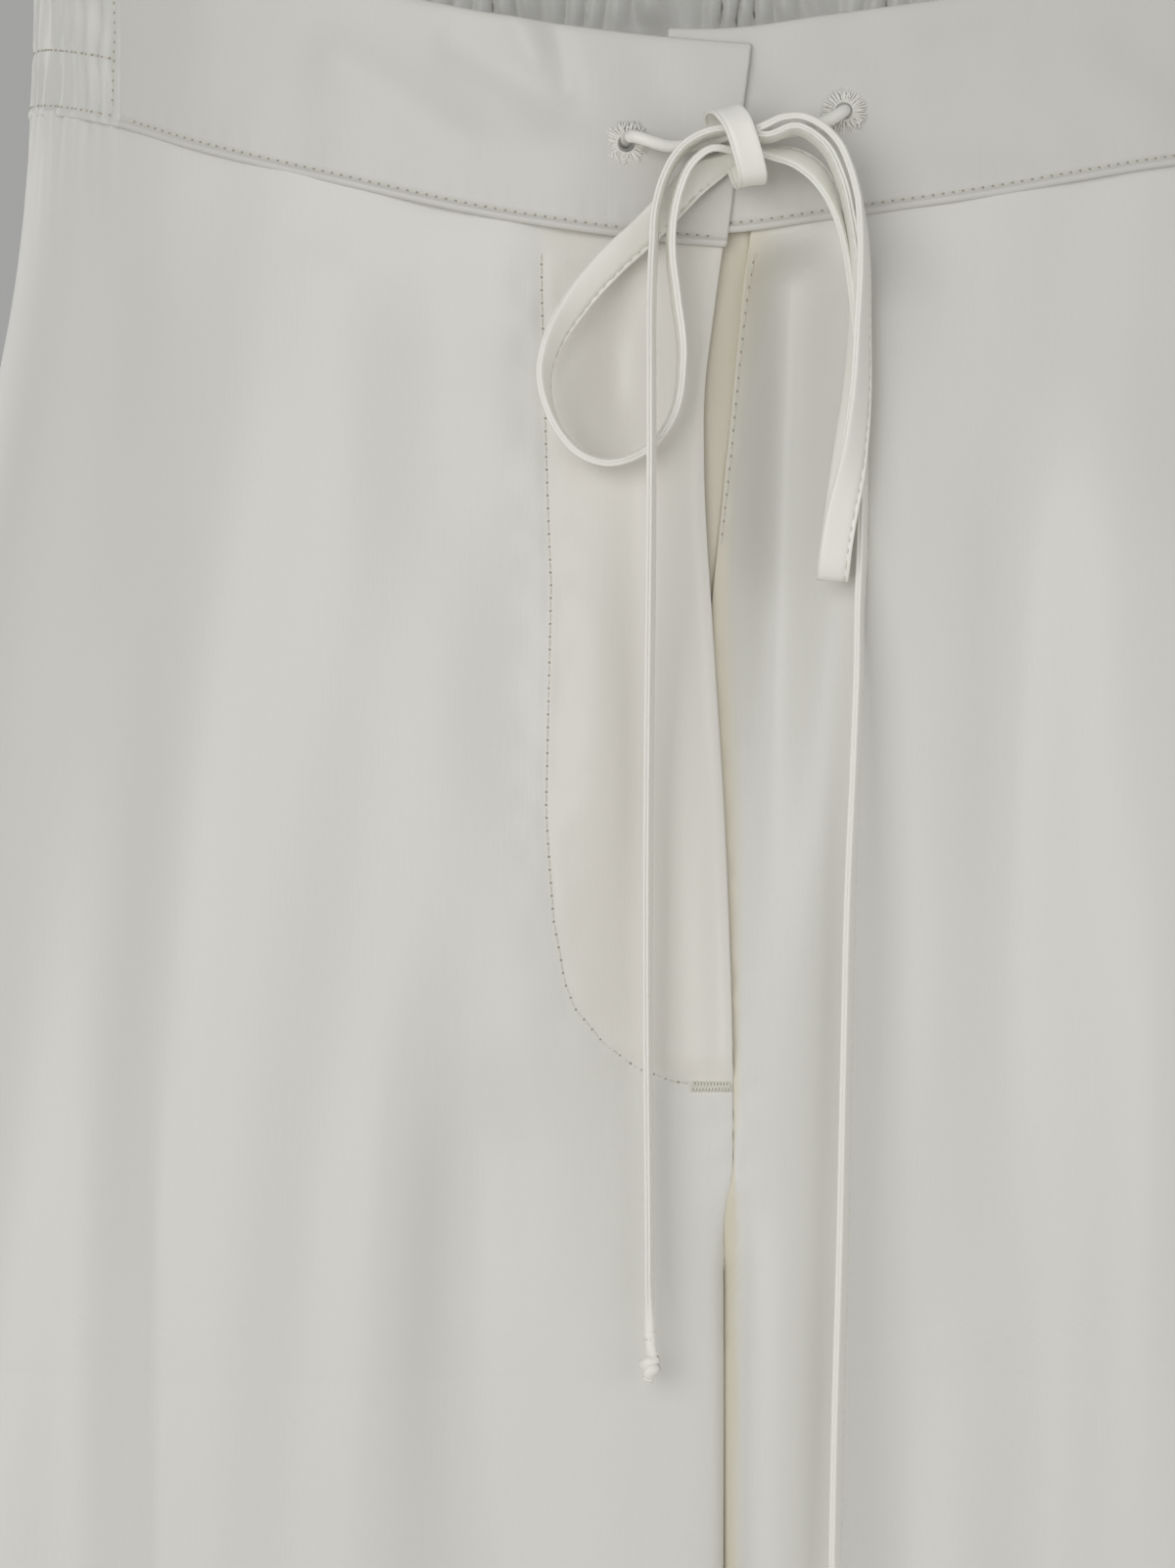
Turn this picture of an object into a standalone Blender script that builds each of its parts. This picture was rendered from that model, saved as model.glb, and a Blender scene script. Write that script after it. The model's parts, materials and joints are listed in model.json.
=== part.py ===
"""Drawstring trousers in satin: wide legs, a flat front waistband over a lapped fly, an
elastic back waistband, two stitched eyelets and a flat drawstring tied in a bow.

Tables and sizes are in millimetres, and every point is turned to metres as its mesh is
made. +Z is up, the front looks towards -Y and the wearer's right leg is at -X. The origin
is the middle of the waist opening, level with the top edge of the waistband at the front.
"""
import math

import bmesh
import bpy
import numpy as np
from mathutils import Matrix, Vector

MM = 0.001

# Cloth
CLOTH = 1.2
BAND_WALL = 2.0
SEAM = 0.3
WAIST_SEAM = 0.6

# Heights, from the top edge of the band at the front
BAND_HEIGHT = 46.0
FLY_END = -233.0
FRONT_FORK = -250.0
BACK_FORK = -170.0
CROTCH = -300.0
HEM = -1060.0
SIDE_SEAM_Y = -3.0
LEG_GAP_SLOPE = 0.005

# One row for each height of the filled trousers, for one leg and its half of the hips:
# how far out the side seam is, where the section comes furthest forward, how far the
# front and the back stand out, and how square its outer and inner corners are
SECTION_COLUMNS = ("height", "side", "crease", "front", "back", "outer_square", "inner_square")
SECTIONS = (
    (50.0, 165.0, 12.0, 96.0, 84.0, 2.30, 8.0),
    (0.0, 166.0, 14.0, 100.0, 88.0, 2.30, 8.0),
    (-45.0, 170.0, 22.0, 103.0, 95.0, 2.30, 8.0),
    (-100.0, 181.0, 42.0, 107.0, 110.0, 2.32, 8.0),
    (-150.0, 192.0, 60.0, 109.5, 122.0, 2.35, 8.0),
    (-200.0, 201.0, 78.0, 111.0, 128.0, 2.40, 8.0),
    (-250.0, 208.0, 92.0, 111.0, 125.0, 2.42, 8.0),
    (-300.0, 214.0, 103.0, 110.0, 117.0, 2.45, 8.0),
    (-400.0, 223.0, 112.0, 106.0, 104.0, 2.50, 6.5),
    (-600.0, 230.0, 117.0, 100.0, 90.0, 2.50, 5.0),
    (-800.0, 235.0, 120.0, 97.0, 80.0, 2.50, 4.4),
    (-1060.0, 238.0, 121.0, 96.0, 74.0, 2.50, 4.0),
)

# The seam under the waistband: its height on each side, by the way round from the front
BAND_LINE_COLUMNS = ("round", "right", "left")
BAND_LINE = (
    (-30.0, -46.0, -41.0),
    (0.0, -45.0, -41.5),
    (22.0, -43.0, -38.5),
    (55.0, -37.8, -33.6),
    (90.0, -29.5, -27.0),
    (125.0, -20.5, -20.5),
    (150.0, -13.0, -13.0),
    (180.0, -7.5, -7.5),
    (215.0, -5.0, -5.0),
    (300.0, -4.0, -4.0),
    (450.0, -3.0, -3.0),
)
BAND_LINE_LEVEL = -240.0

# The free edge of the fly, on the wearer's right front, back from the centre line
FLY_EDGE_COLUMNS = ("height", "back_from_centre")
FLY_EDGE = (
    (-233.0, 0.15),
    (-209.0, 0.7),
    (-170.0, 2.2),
    (-132.0, 4.6),
    (-95.0, 6.6),
    (-77.0, 6.4),
    (-62.0, 4.6),
    (-46.0, 2.4),
    (-38.0, 1.2),
)
# The edge of the left front, where it is sewn over the fly underlap
UNDER_EDGE_TOP = (-41.5, 4.4)
UNDER_EDGE_LOW = (-126.0, -4.6)
UNDERLAP_TOP = -38.0
UNDERLAP_LOW = -205.0
UNDERLAP_INNER_X = -34.0
UNDERLAP_UNDER_LEFT = 8.0
UNDERLAP_SET_BACK = 1.3
# Its low end narrows, over this height and by this much
UNDERLAP_NARROWS = (45.0, 18.0)

# Folds that hang down the cloth, seen from the front (or the back): x and depth at each
# end, the two heights, the half width, and how far the fold takes to come and to go. A
# ridge has a depth above nought, and a trough one below
FOLD_COLUMNS = (
    "x_top", "x_low", "top", "low", "width", "depth_top", "depth_low", "fade_top", "fade_low",
)
FRONT_FOLDS = (
    (9.0, 4.0, -41.0, -235.0, 9.0, -8.0, -8.0, 12.0, 150.0),
    (-25.0, -25.0, -48.0, -97.0, 8.0, -4.0, -4.0, 22.0, 22.0),
    (-31.0, -29.0, -105.0, -200.0, 11.0, 2.5, 2.5, 40.0, 40.0),
    (-53.0, -50.0, -140.0, -250.0, 13.0, 3.0, 3.0, 50.0, 30.0),
    (-64.0, -60.0, -40.0, -150.0, 16.0, -3.5, -3.5, 25.0, 60.0),
    (-58.0, -46.0, -190.0, HEM, 15.0, -5.0, -13.0, 80.0, 0.0),
    (-76.0, -86.0, -190.0, HEM, 14.0, 3.5, 9.0, 80.0, 0.0),
    (-114.0, -124.0, -90.0, HEM, 24.0, 4.5, 6.0, 90.0, 0.0),
    (-143.0, -164.0, -25.0, HEM, 16.0, -5.0, -13.0, 40.0, 0.0),
    (-190.0, -204.0, -330.0, HEM, 16.0, 2.0, 9.0, 200.0, 0.0),
    (-13.0, -18.0, -330.0, HEM, 12.0, 1.0, 7.0, 200.0, 0.0),
    (34.0, 38.0, -40.0, -150.0, 13.0, 4.5, 4.5, 20.0, 60.0),
    (37.0, 34.0, -150.0, HEM, 13.0, -4.0, -9.0, 60.0, 0.0),
    (11.0, 12.0, -245.0, HEM, 9.0, 2.5, 6.0, 60.0, 0.0),
    (62.0, 80.0, -70.0, HEM, 17.0, -4.5, -13.0, 50.0, 0.0),
    (92.0, 110.0, -60.0, HEM, 20.0, 4.0, 8.0, 60.0, 0.0),
    (150.0, 158.0, -40.0, HEM, 18.0, -4.5, -13.0, 60.0, 0.0),
    (184.0, 202.0, -330.0, HEM, 16.0, 2.0, 9.0, 200.0, 0.0),
)
BACK_FOLDS = (
    (-36.0, -40.0, -260.0, HEM, 17.0, 4.0, 9.0, 120.0, 0.0),
    (-78.0, -74.0, -215.0, HEM, 17.0, -5.0, -14.0, 140.0, 0.0),
    (-112.0, -116.0, -180.0, HEM, 22.0, 4.5, 8.0, 140.0, 0.0),
    (-156.0, -160.0, -120.0, HEM, 18.0, -5.0, -13.0, 120.0, 0.0),
    (-194.0, -204.0, -300.0, HEM, 16.0, 3.0, 8.0, 160.0, 0.0),
    (36.0, 36.0, -270.0, HEM, 16.0, -3.5, -11.0, 120.0, 0.0),
    (68.0, 72.0, -235.0, HEM, 17.0, 4.0, 8.0, 140.0, 0.0),
    (102.0, 108.0, -200.0, HEM, 18.0, -5.0, -14.0, 140.0, 0.0),
    (140.0, 150.0, -150.0, HEM, 20.0, 4.5, 9.0, 120.0, 0.0),
    (186.0, 194.0, -280.0, HEM, 16.0, -3.0, -9.0, 160.0, 0.0),
)

# Waistband
ELASTIC_JOINT = 148.0
OVER_END_TOP_X = 4.0
OVER_END_LOW_X = -1.8
UNDER_END_X = -14.0
BAND_PROUD = 0.8
LAP_PROUD = 3.2
LAP_FROM_X = -34.0
LAP_TO_X = -75.0
GATHERS = 88
GATHER_HEIGHT = 1.1
GATHER_EASE = 12.0
FLATTENED_AT_STITCHES = 0.35
CHANNELS = 3
EYELET_RIGHT = (-23.7, -21.8)
EYELET_LEFT = (25.1, -14.3)
EYELET_HOLE = 2.3
EYELET_RING = 3.7
EYELET_RING_WIDTH = 1.2
EYELET_RING_HEIGHT = 0.6
EYELET_CUTTER = 20.0

# Drawstring
CORD_WIDTH = 7.0
CORD_THICK = 1.6
LEAD_RADIUS = 1.6
KNOT_SIZE = (12.9, 13.4, 18.4)
KNOT_CENTRE = (0.3, -112.3, -23.5)
KNOT_ROUNDING = 3.0
END_KNOT_SIZE = (6.2, 6.2, 11.0)
END_KNOT_SIDES = 10

# Each stretch of the drawstring, with the points that it was laid through and how far it
# is turned there: at 0 its edge faces the front, at 90 its flat side does
ROUTE_COLUMNS = ("x", "y", "z", "turn")
PLACE_COLUMNS = 3
ROUTE_STEPS = 400
LEAD_RIGHT = (
    (-23.9, -103.4, -21.8, 0.0),
    (-23.3, -106.2, -22.1, 0.0),
    (-21.3, -108.3, -22.0, 0.0),
    (-18.4, -108.6, -21.9, 0.0),
    (-14.1, -108.3, -22.2, 0.0),
    (-9.6, -107.8, -22.6, 0.0),
    (-6.4, -107.7, -22.5, 0.0),
)
LEAD_LEFT = (
    (25.4, -101.0, -14.0, 0.0),
    (24.5, -103.6, -14.8, 0.0),
    (22.1, -105.6, -16.5, 0.0),
    (16.8, -107.1, -18.7, 0.0),
    (10.8, -107.6, -19.9, 0.0),
    (7.3, -107.6, -20.3, 0.0),
)
LOOP_RIGHT = (
    (-8.8, -107.6, -30.7, 84.0),
    (-12.1, -107.7, -34.0, 84.0),
    (-19.4, -108.2, -41.6, 80.0),
    (-28.0, -110.0, -49.7, 70.0),
    (-35.2, -111.8, -58.3, 55.0),
    (-40.3, -112.9, -67.2, 35.0),
    (-42.1, -113.2, -74.2, 22.0),
    (-41.4, -113.4, -80.5, 12.0),
    (-38.4, -113.5, -87.3, 6.0),
    (-33.8, -113.6, -92.0, 2.0),
    (-28.1, -113.6, -93.8, 0.0),
    (-20.5, -113.6, -91.6, 0.0),
    (-14.0, -113.7, -84.1, 4.0),
    (-11.4, -113.7, -70.8, 8.0),
    (-12.1, -113.7, -57.8, 8.0),
    (-13.6, -113.7, -46.3, 6.0),
    (-13.6, -113.7, -36.5, 4.0),
    (-12.1, -113.7, -29.2, 0.0),
    (-9.5, -113.7, -24.6, 0.0),
    (-7.1, -113.7, -22.7, 0.0),
)
END_RIGHT = (
    (-6.9, -113.7, -18.9, 0.0),
    (-11.4, -113.7, -20.8, 0.0),
    (-15.3, -113.7, -25.8, 0.0),
    (-17.3, -113.9, -32.8, 4.0),
    (-18.0, -115.2, -41.2, 10.0),
    (-18.3, -118.0, -56.3, 16.0),
    (-18.4, -121.6, -76.3, 20.0),
    (-18.4, -122.6, -93.2, 22.0),
    (-18.5, -121.4, -115.7, 24.0),
    (-18.8, -119.6, -145.3, 26.0),
    (-19.1, -118.5, -184.8, 26.0),
    (-19.1, -118.2, -224.3, 26.0),
    (-18.8, -118.0, -258.9, 26.0),
    (-18.7, -118.0, -288.7, 26.0),
)
LOOP_LEFT = (
    (7.1, -113.7, -17.6, 0.0),
    (13.7, -113.7, -16.3, 0.0),
    (20.8, -113.8, -18.9, 0.0),
    (25.9, -114.2, -24.8, 0.0),
    (28.6, -115.2, -32.5, 14.0),
    (29.6, -116.9, -40.9, 42.0),
    (29.7, -118.4, -50.4, 70.0),
    (29.3, -119.0, -63.3, 86.0),
    (28.4, -119.2, -78.5, 90.0),
    (26.4, -119.4, -95.8, 90.0),
    (24.3, -119.5, -109.7, 90.0),
    (23.1, -119.3, -117.6, 90.0),
    (22.6, -117.4, -120.9, 90.0),
    (22.8, -115.6, -117.7, 90.0),
    (23.8, -115.2, -109.6, 90.0),
    (25.0, -115.1, -95.7, 90.0),
    (26.4, -115.1, -77.9, 90.0),
    (27.0, -114.9, -63.0, 86.0),
    (26.9, -114.4, -50.1, 70.0),
    (26.1, -113.8, -39.9, 42.0),
    (24.3, -113.6, -30.4, 14.0),
    (19.7, -113.7, -22.6, 0.0),
    (13.4, -113.7, -19.6, 0.0),
    (7.1, -113.7, -21.1, 0.0),
)
END_LEFT = (
    (8.4, -109.6, -25.7, 24.0),
    (13.4, -109.6, -27.3, 30.0),
    (18.2, -109.6, -31.1, 46.0),
    (21.9, -109.8, -36.9, 64.0),
    (24.5, -110.4, -44.7, 80.0),
    (26.2, -111.4, -54.7, 90.0),
    (27.5, -112.3, -70.7, 90.0),
    (27.9, -112.7, -95.5, 90.0),
    (28.0, -112.8, -115.4, 90.0),
    (28.0, -113.2, -126.3, 84.0),
    (27.8, -115.0, -140.2, 44.0),
    (27.1, -116.6, -160.1, 18.0),
    (25.9, -116.8, -189.7, 16.0),
    (25.0, -116.8, -229.3, 18.0),
    (24.2, -116.8, -268.8, 20.0),
    (23.1, -116.8, -308.4, 20.0),
    (22.3, -116.8, -349.9, 20.0),
)


def column(table, columns, name):
    """One column of a table, as an array."""
    return np.array([row[columns.index(name)] for row in table])


def smooth_read(places, values, at):
    """The value at a place, on a smooth curve through a table's rows."""
    order = np.argsort(places)
    places = places[order]
    values = values[order]
    slopes = np.gradient(values, places)
    at = min(max(at, places[0]), places[-1])
    i = min(np.searchsorted(places, at, side="right") - 1, len(places) - 2)
    gap = places[i + 1] - places[i]
    t = (at - places[i]) / gap
    near = (1 + 2 * t) * (1 - t) ** 2 * values[i] + t * (1 - t) ** 2 * gap * slopes[i]
    far = t * t * (3 - 2 * t) * values[i + 1] + t * t * (t - 1) * gap * slopes[i + 1]
    return near + far


def smooth_step(start, end, at):
    """From 0 at the start to 1 at the end, with no corner."""
    t = min(max((at - start) / (end - start), 0.0), 1.0)
    return t * t * (3 - 2 * t)


SECTION_HEIGHTS = column(SECTIONS, SECTION_COLUMNS, "height")
SECTION_VALUES = {
    name: column(SECTIONS, SECTION_COLUMNS, name) for name in SECTION_COLUMNS[1:]
}
ARC_STEPS = 60


def section_size(name, height):
    return smooth_read(SECTION_HEIGHTS, SECTION_VALUES[name], height)


def fork_depth(height, fork, power):
    """The share of the section's depth left at the centre seam: 1 above the fork, 0 at the crotch."""
    down = min(max((fork - height) / (fork - CROTCH), 0.0), 1.0)
    return (1 - down**power) ** (1 / power)


def half_section(height, facing):
    """The outline from the centre seam, or the inseam, round to the side seam.

    facing is -1 for the front and 1 for the back. Above the crotch the outline is cut off
    at the centre plane, and how much is cut makes the curve of the crotch seam."""
    side = section_size("side", height)
    crease = section_size("crease", height)
    stand = section_size("front" if facing < 0 else "back", height)
    outer = section_size("outer_square", height)
    inner = section_size("inner_square", height)
    seam_x = SEAM / 2 + max(0.0, CROTCH - height) * LEG_GAP_SLOPE
    reach = stand - facing * SIDE_SEAM_Y
    if facing < 0:
        left_over = fork_depth(height, FRONT_FORK, 2.2)
    else:
        left_over = fork_depth(height, BACK_FORK, 2.0)
    share = max((1 - left_over**inner) ** (1 / inner), 0.05)
    start = math.acos(min(share ** (inner / 2), 1.0))
    angle = np.linspace(start, math.pi / 2, ARC_STEPS)
    x_in = crease - (crease - seam_x) / share * np.cos(angle) ** (2 / inner)
    y_in = reach * np.sin(angle) ** (2 / inner)
    angle = np.linspace(math.pi / 2, 0, ARC_STEPS)[1:]
    x_out = crease + (side - crease) * np.abs(np.cos(angle)) ** (2 / outer)
    y_out = reach * np.abs(np.sin(angle)) ** (2 / outer)
    x = np.concatenate([x_in, x_out])
    y = SIDE_SEAM_Y + facing * np.concatenate([y_in, y_out])
    along = np.concatenate([[0], np.cumsum(np.hypot(np.diff(x), np.diff(y)))])
    return x, y, along


def fold_depth(folds, x, height):
    """How far the folds of a table move the cloth out at this place."""
    depth = 0.0
    for row in folds:
        fold = dict(zip(FOLD_COLUMNS, row))
        if not fold["low"] < height < fold["top"]:
            continue
        down = (fold["top"] - height) / (fold["top"] - fold["low"])
        middle = fold["x_top"] + (fold["x_low"] - fold["x_top"]) * down
        grow = smooth_step(fold["top"], fold["top"] - fold["fade_top"], height)
        if fold["fade_low"] > 0:
            grow *= smooth_step(fold["low"], fold["low"] + fold["fade_low"], height)
        depth_here = fold["depth_top"] + (fold["depth_low"] - fold["depth_top"]) * down**1.5
        depth += depth_here * grow * math.exp(-(((x - middle) / fold["width"]) ** 2))
    return depth


def cloth_point(side, facing, round_from_seam, height, proud=0.0, folded=True):
    """A point of the cloth's outer face: side is -1 for the wearer's right leg, 1 for the left."""
    x, y, along = half_section(height, facing)
    at = min(max(round_from_seam, 0.0), along[-1])
    before = min(max(at - 1.0, 0.0), along[-1] - 2.0)
    px = float(np.interp(at, along, x))
    py = float(np.interp(at, along, y))
    dx = float(np.interp(before + 2.0, along, x) - np.interp(before, along, x))
    dy = float(np.interp(before + 2.0, along, y) - np.interp(before, along, y))
    size = math.hypot(dx, dy)
    # Out of the cloth: the way round turned a quarter, away from the hollow
    out_x = facing * -dy / size
    out_y = facing * dx / size
    if round_from_seam < 0:
        px += round_from_seam
    move = proud
    if folded:
        folds = FRONT_FOLDS if facing < 0 else BACK_FOLDS
        look = max(0.0, facing * out_y)
        move += look * fold_depth(folds, side * px, height)
    return Vector((side * (px + out_x * move), py + out_y * move, height))


def section_length(height, facing):
    return half_section(height, facing)[2][-1]


def band_line(side, way_round):
    name = "right" if side < 0 else "left"
    places = column(BAND_LINE, BAND_LINE_COLUMNS, "round")
    return smooth_read(places, column(BAND_LINE, BAND_LINE_COLUMNS, name), way_round)


def clear_scene():
    for thing in list(bpy.data.objects):
        bpy.data.objects.remove(thing)


def linear(channel):
    return channel / 12.92 if channel <= 0.04045 else ((channel + 0.055) / 1.055) ** 2.4


def make_material(name, hex_colour, roughness):
    """A Principled material from an sRGB hex colour."""
    material = bpy.data.materials.new(name)
    material.use_nodes = True
    shader = material.node_tree.nodes["Principled BSDF"]
    channels = [int(hex_colour[i : i + 2], 16) / 255 for i in (0, 2, 4)]
    shader.inputs["Base Color"].default_value = (*[linear(c) for c in channels], 1)
    shader.inputs["Roughness"].default_value = roughness
    shader.inputs["Metallic"].default_value = 0.0
    return material


def add_sheet(name, columns, rows, place, wall, material, middle):
    """A wall of cloth: a grid whose points place() sets, made solid towards the inside.

    place takes two shares from 0 to 1, across and down. middle is a point in the hollow."""
    grid = bmesh.new()
    bmesh.ops.create_grid(grid, x_segments=columns, y_segments=rows, size=0.5)
    for point in grid.verts:
        point.co = place(point.co.x + 0.5, 0.5 - point.co.y) * MM
    grid.normal_update()
    inside = Vector(middle) * MM
    outward = 0.0
    for face in grid.faces:
        from_inside = face.calc_center_median() - inside
        from_inside.z = 0
        outward += face.normal.dot(from_inside)
    if outward < 0:
        bmesh.ops.reverse_faces(grid, faces=grid.faces)
    mesh = bpy.data.meshes.new(name)
    grid.to_mesh(mesh)
    grid.free()
    mesh.shade_smooth()
    sheet = bpy.data.objects.new(name, mesh)
    garment.objects.link(sheet)
    mesh.materials.append(material)
    solid = sheet.modifiers.new("wall", "SOLIDIFY")
    solid.thickness = wall * MM
    solid.offset = -1
    return sheet


# Levels of the rows down a leg panel: closer where the crotch curve turns
FRONT_LEVELS = (
    [-60, -76, -92, -108, -126, -145, -166, -188, -210, -233, -250]
    + [-264.6, -276.6, -286.5, -293.9, -298.4, -300]
    + [-312, -335, -370, -420, -485, -560, -645, -740, -840, -950, HEM]
)
BACK_LEVELS = (
    [-30, -65, -100, -135, -170, -205, -235, -260, -278, -290, -297, -300]
    + [-312, -340, -385, -450, -535, -630, -735, -845, -955, HEM]
)
SEAM_COLUMNS = {-1: 6, 1: 4}
OPEN_COLUMNS = {-1: 13, 1: 9}
SEAM_ZONE = 30.0


def zone_end(height, facing):
    """The way round to where the cloth has turned from the seam to the open front or back."""
    x, y, along = half_section(height, facing)
    return float(np.interp(x[0] + SEAM_ZONE, x, along))


def column_place(share, start, height, facing):
    """Spreads a panel's columns: close together round the corner beside the centre seam."""
    near = SEAM_COLUMNS[facing]
    count = near + OPEN_COLUMNS[facing]
    index = share * count
    corner = zone_end(height, facing)
    if index <= near:
        return start + (corner - start) * (1 - (1 - index / near) ** 1.6)
    end = section_length(height, facing) - SEAM / 2
    return corner + (end - corner) * (index - near) / (count - near)


def fly_edge(height):
    """How far back from the centre line the free edge of the fly lies."""
    if height <= FLY_END:
        return SEAM / 2
    places = column(FLY_EDGE, FLY_EDGE_COLUMNS, "height")
    return smooth_read(places, column(FLY_EDGE, FLY_EDGE_COLUMNS, "back_from_centre"), height)


def under_edge(height):
    """The x of the left front's edge, which never meets the free edge of the fly."""
    if height <= FLY_END:
        return SEAM / 2
    slope = (UNDER_EDGE_LOW[1] - UNDER_EDGE_TOP[1]) / (UNDER_EDGE_LOW[0] - UNDER_EDGE_TOP[0])
    line = UNDER_EDGE_TOP[1] + slope * (height - UNDER_EDGE_TOP[0])
    return max(line, SEAM - fly_edge(height))


def panel_height(level, side, centre, way_round):
    """A row's height: along the waist seam at the top, level from the hips down."""
    lift = band_line(side, abs(centre - way_round)) - band_line(side, centre)
    return level + lift * smooth_step(BAND_LINE_LEVEL, 0.0, level)


def make_panel(name, side, facing, material):
    """One leg panel, from the waist seam to the hem and from the centre seam to the side seam."""
    levels = list(FRONT_LEVELS if facing < 0 else BACK_LEVELS)
    centre = 0.0 if facing < 0 else section_length(-5.0, -1) + section_length(-5.0, 1)
    rows = len(levels)
    columns = SEAM_COLUMNS[facing] + OPEN_COLUMNS[facing]

    def start_of_row(level):
        if facing < 0 and level > FLY_END:
            return (fly_edge(level) if side < 0 else under_edge(level)) - SEAM / 2
        return 0.0 if level > CROTCH else SEAM / 2

    def place(across, down):
        row = round(down * rows)
        level = band_line(side, centre) if row == 0 else levels[row - 1]
        start = start_of_row(level)
        height = level
        # The waist seam rises and falls, so the height and the way round settle together
        for _ in range(4):
            way_round = column_place(across, start, height, facing)
            if row == 0:
                height = band_line(side, abs(centre - way_round)) - WAIST_SEAM
            else:
                height = panel_height(level, side, centre, way_round)
        return cloth_point(side, facing, way_round, height)

    return add_sheet(name, columns, rows, place, CLOTH, material, (side * 110.0, 0, 0))


def make_underlap(material):
    """The strip behind the fly: sewn under the left front's edge, lying behind the right front."""

    def place(across, down):
        height = UNDERLAP_TOP + (UNDERLAP_LOW - UNDERLAP_TOP) * down
        low_end = smooth_step(UNDERLAP_LOW + UNDERLAP_NARROWS[0], UNDERLAP_LOW, height)
        left = under_edge(height) + UNDERLAP_UNDER_LEFT
        right = UNDERLAP_INNER_X + UNDERLAP_NARROWS[1] * low_end
        x = right + (left - right) * across
        side = -1 if x < 0 else 1
        return cloth_point(side, -1, abs(x), height, proud=-CLOTH - UNDERLAP_SET_BACK)

    return add_sheet("fly_underlap", 10, 12, place, CLOTH, material, (0, 0, 0))


def round_at_x(x, height):
    """The way round the front to a distance out from the centre."""
    outline_x, outline_y, along = half_section(height, -1)
    return float(np.interp(x, outline_x, along))


def lap_proud(x):
    """The right band rises to lie over the left one near the centre."""
    return BAND_PROUD + (LAP_PROUD - BAND_PROUD) * smooth_step(LAP_TO_X, LAP_FROM_X, x)


def make_front_band(name, side, material):
    """The flat front half of the waistband: the right one laps over the left one."""

    def place(across, down):
        if side < 0:
            start = -OVER_END_TOP_X + (OVER_END_TOP_X - OVER_END_LOW_X) * down
        else:
            start = UNDER_END_X
        way_round = start + (ELASTIC_JOINT - SEAM / 2 - start) * across
        height = band_line(side, way_round) + BAND_HEIGHT * (1 - down)
        proud = lap_proud(-way_round) if side < 0 else BAND_PROUD
        return cloth_point(side, -1, way_round, height, proud=proud, folded=False)

    return add_sheet(name, 16, 4, place, BAND_WALL, material, (0, 0, 0))


def make_elastic_band(material):
    """The back of the waistband, gathered on elastic in three channels, from joint to joint."""
    columns = GATHERS * 2
    rows = CHANNELS * 2
    quarter = section_length(0.0, -1)
    half = quarter + section_length(0.0, 1)
    first = ELASTIC_JOINT + SEAM / 2

    def place(across, down):
        side = -1 if across < 0.5 else 1
        way_round = first + (half - first) * (1 - abs(2 * across - 1))
        height = band_line(side, way_round) + BAND_HEIGHT * (1 - down)
        ridge = round(across * columns) % 2
        full = abs(math.sin(math.pi * CHANNELS * down))
        puff = FLATTENED_AT_STITCHES + (1 - FLATTENED_AT_STITCHES) * full
        ease = min(1.0, (way_round - first) / GATHER_EASE)
        proud = BAND_PROUD - GATHER_HEIGHT * puff * ease * (1 - ridge)
        if way_round <= quarter:
            return cloth_point(side, -1, way_round, height, proud=proud, folded=False)
        from_back = section_length(height, 1) * (half - way_round) / (half - quarter)
        return cloth_point(side, 1, from_back, height, proud=proud, folded=False)

    return add_sheet("waistband_back", columns, rows, place, BAND_WALL, material, (0, 0, 0))


def band_face(side, x):
    """The proud distance of the front band's outer face."""
    return lap_proud(x) if side < 0 else BAND_PROUD


def cut_eyelet_hole(band, side, centre):
    """Cuts the round hole of an eyelet through the band, square to the cloth."""
    x, height = centre
    way_round = round_at_x(abs(x), height)
    middle = cloth_point(side, -1, way_round, height, proud=0.0, folded=False)
    bpy.ops.mesh.primitive_cylinder_add(
        vertices=16,
        radius=EYELET_HOLE * MM,
        depth=EYELET_CUTTER * MM,
        location=middle * MM,
        rotation=(math.pi / 2, 0, 0),
    )
    cutter = bpy.context.object
    cutter.name = band.name + "_hole"
    for collection in cutter.users_collection:
        collection.objects.unlink(cutter)
    cutters.objects.link(cutter)
    cutter.hide_render = True
    cutter.display_type = "WIRE"
    cut = band.modifiers.new("eyelet hole", "BOOLEAN")
    cut.operation = "DIFFERENCE"
    cut.object = cutter


def make_eyelet(name, side, centre, material):
    """The stitched ring round the hole, lying on the band."""
    x, height = centre
    way_round = round_at_x(abs(x), height)
    lift = band_face(side, x) + SEAM + EYELET_RING_HEIGHT
    middle = cloth_point(side, -1, way_round, height, proud=lift, folded=False)
    bpy.ops.mesh.primitive_torus_add(
        major_radius=EYELET_RING * MM,
        minor_radius=EYELET_RING_WIDTH * MM,
        major_segments=18,
        minor_segments=6,
    )
    ring = bpy.context.object
    ring.name = name
    flat = EYELET_RING_HEIGHT / EYELET_RING_WIDTH
    turn = Matrix.Rotation(math.pi / 2, 4, "X") @ Matrix.Diagonal((1, 1, flat, 1))
    ring.data.transform(turn)
    ring.location = middle * MM
    for collection in ring.users_collection:
        collection.objects.unlink(ring)
    garment.objects.link(ring)
    ring.data.shade_smooth()
    ring.data.materials.append(material)


def smooth_route(route, count):
    """Points at even steps along a smooth curve through a route's own points, with their turns."""
    table = np.array(route)
    steps = np.linalg.norm(np.diff(table[:, :PLACE_COLUMNS], axis=0), axis=1)
    along = np.concatenate([[0], np.cumsum(steps)])
    fine = np.linspace(0, along[-1], ROUTE_STEPS)
    ways = range(len(ROUTE_COLUMNS))
    curve = np.array([[smooth_read(along, table[:, k], s) for k in ways] for s in fine])
    length = np.linalg.norm(np.diff(curve[:, :PLACE_COLUMNS], axis=0), axis=1)
    length = np.concatenate([[0], np.cumsum(length)])
    even = np.linspace(0, length[-1], count)
    return [[float(np.interp(s, length, curve[:, k])) for k in ways] for s in even]


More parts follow.
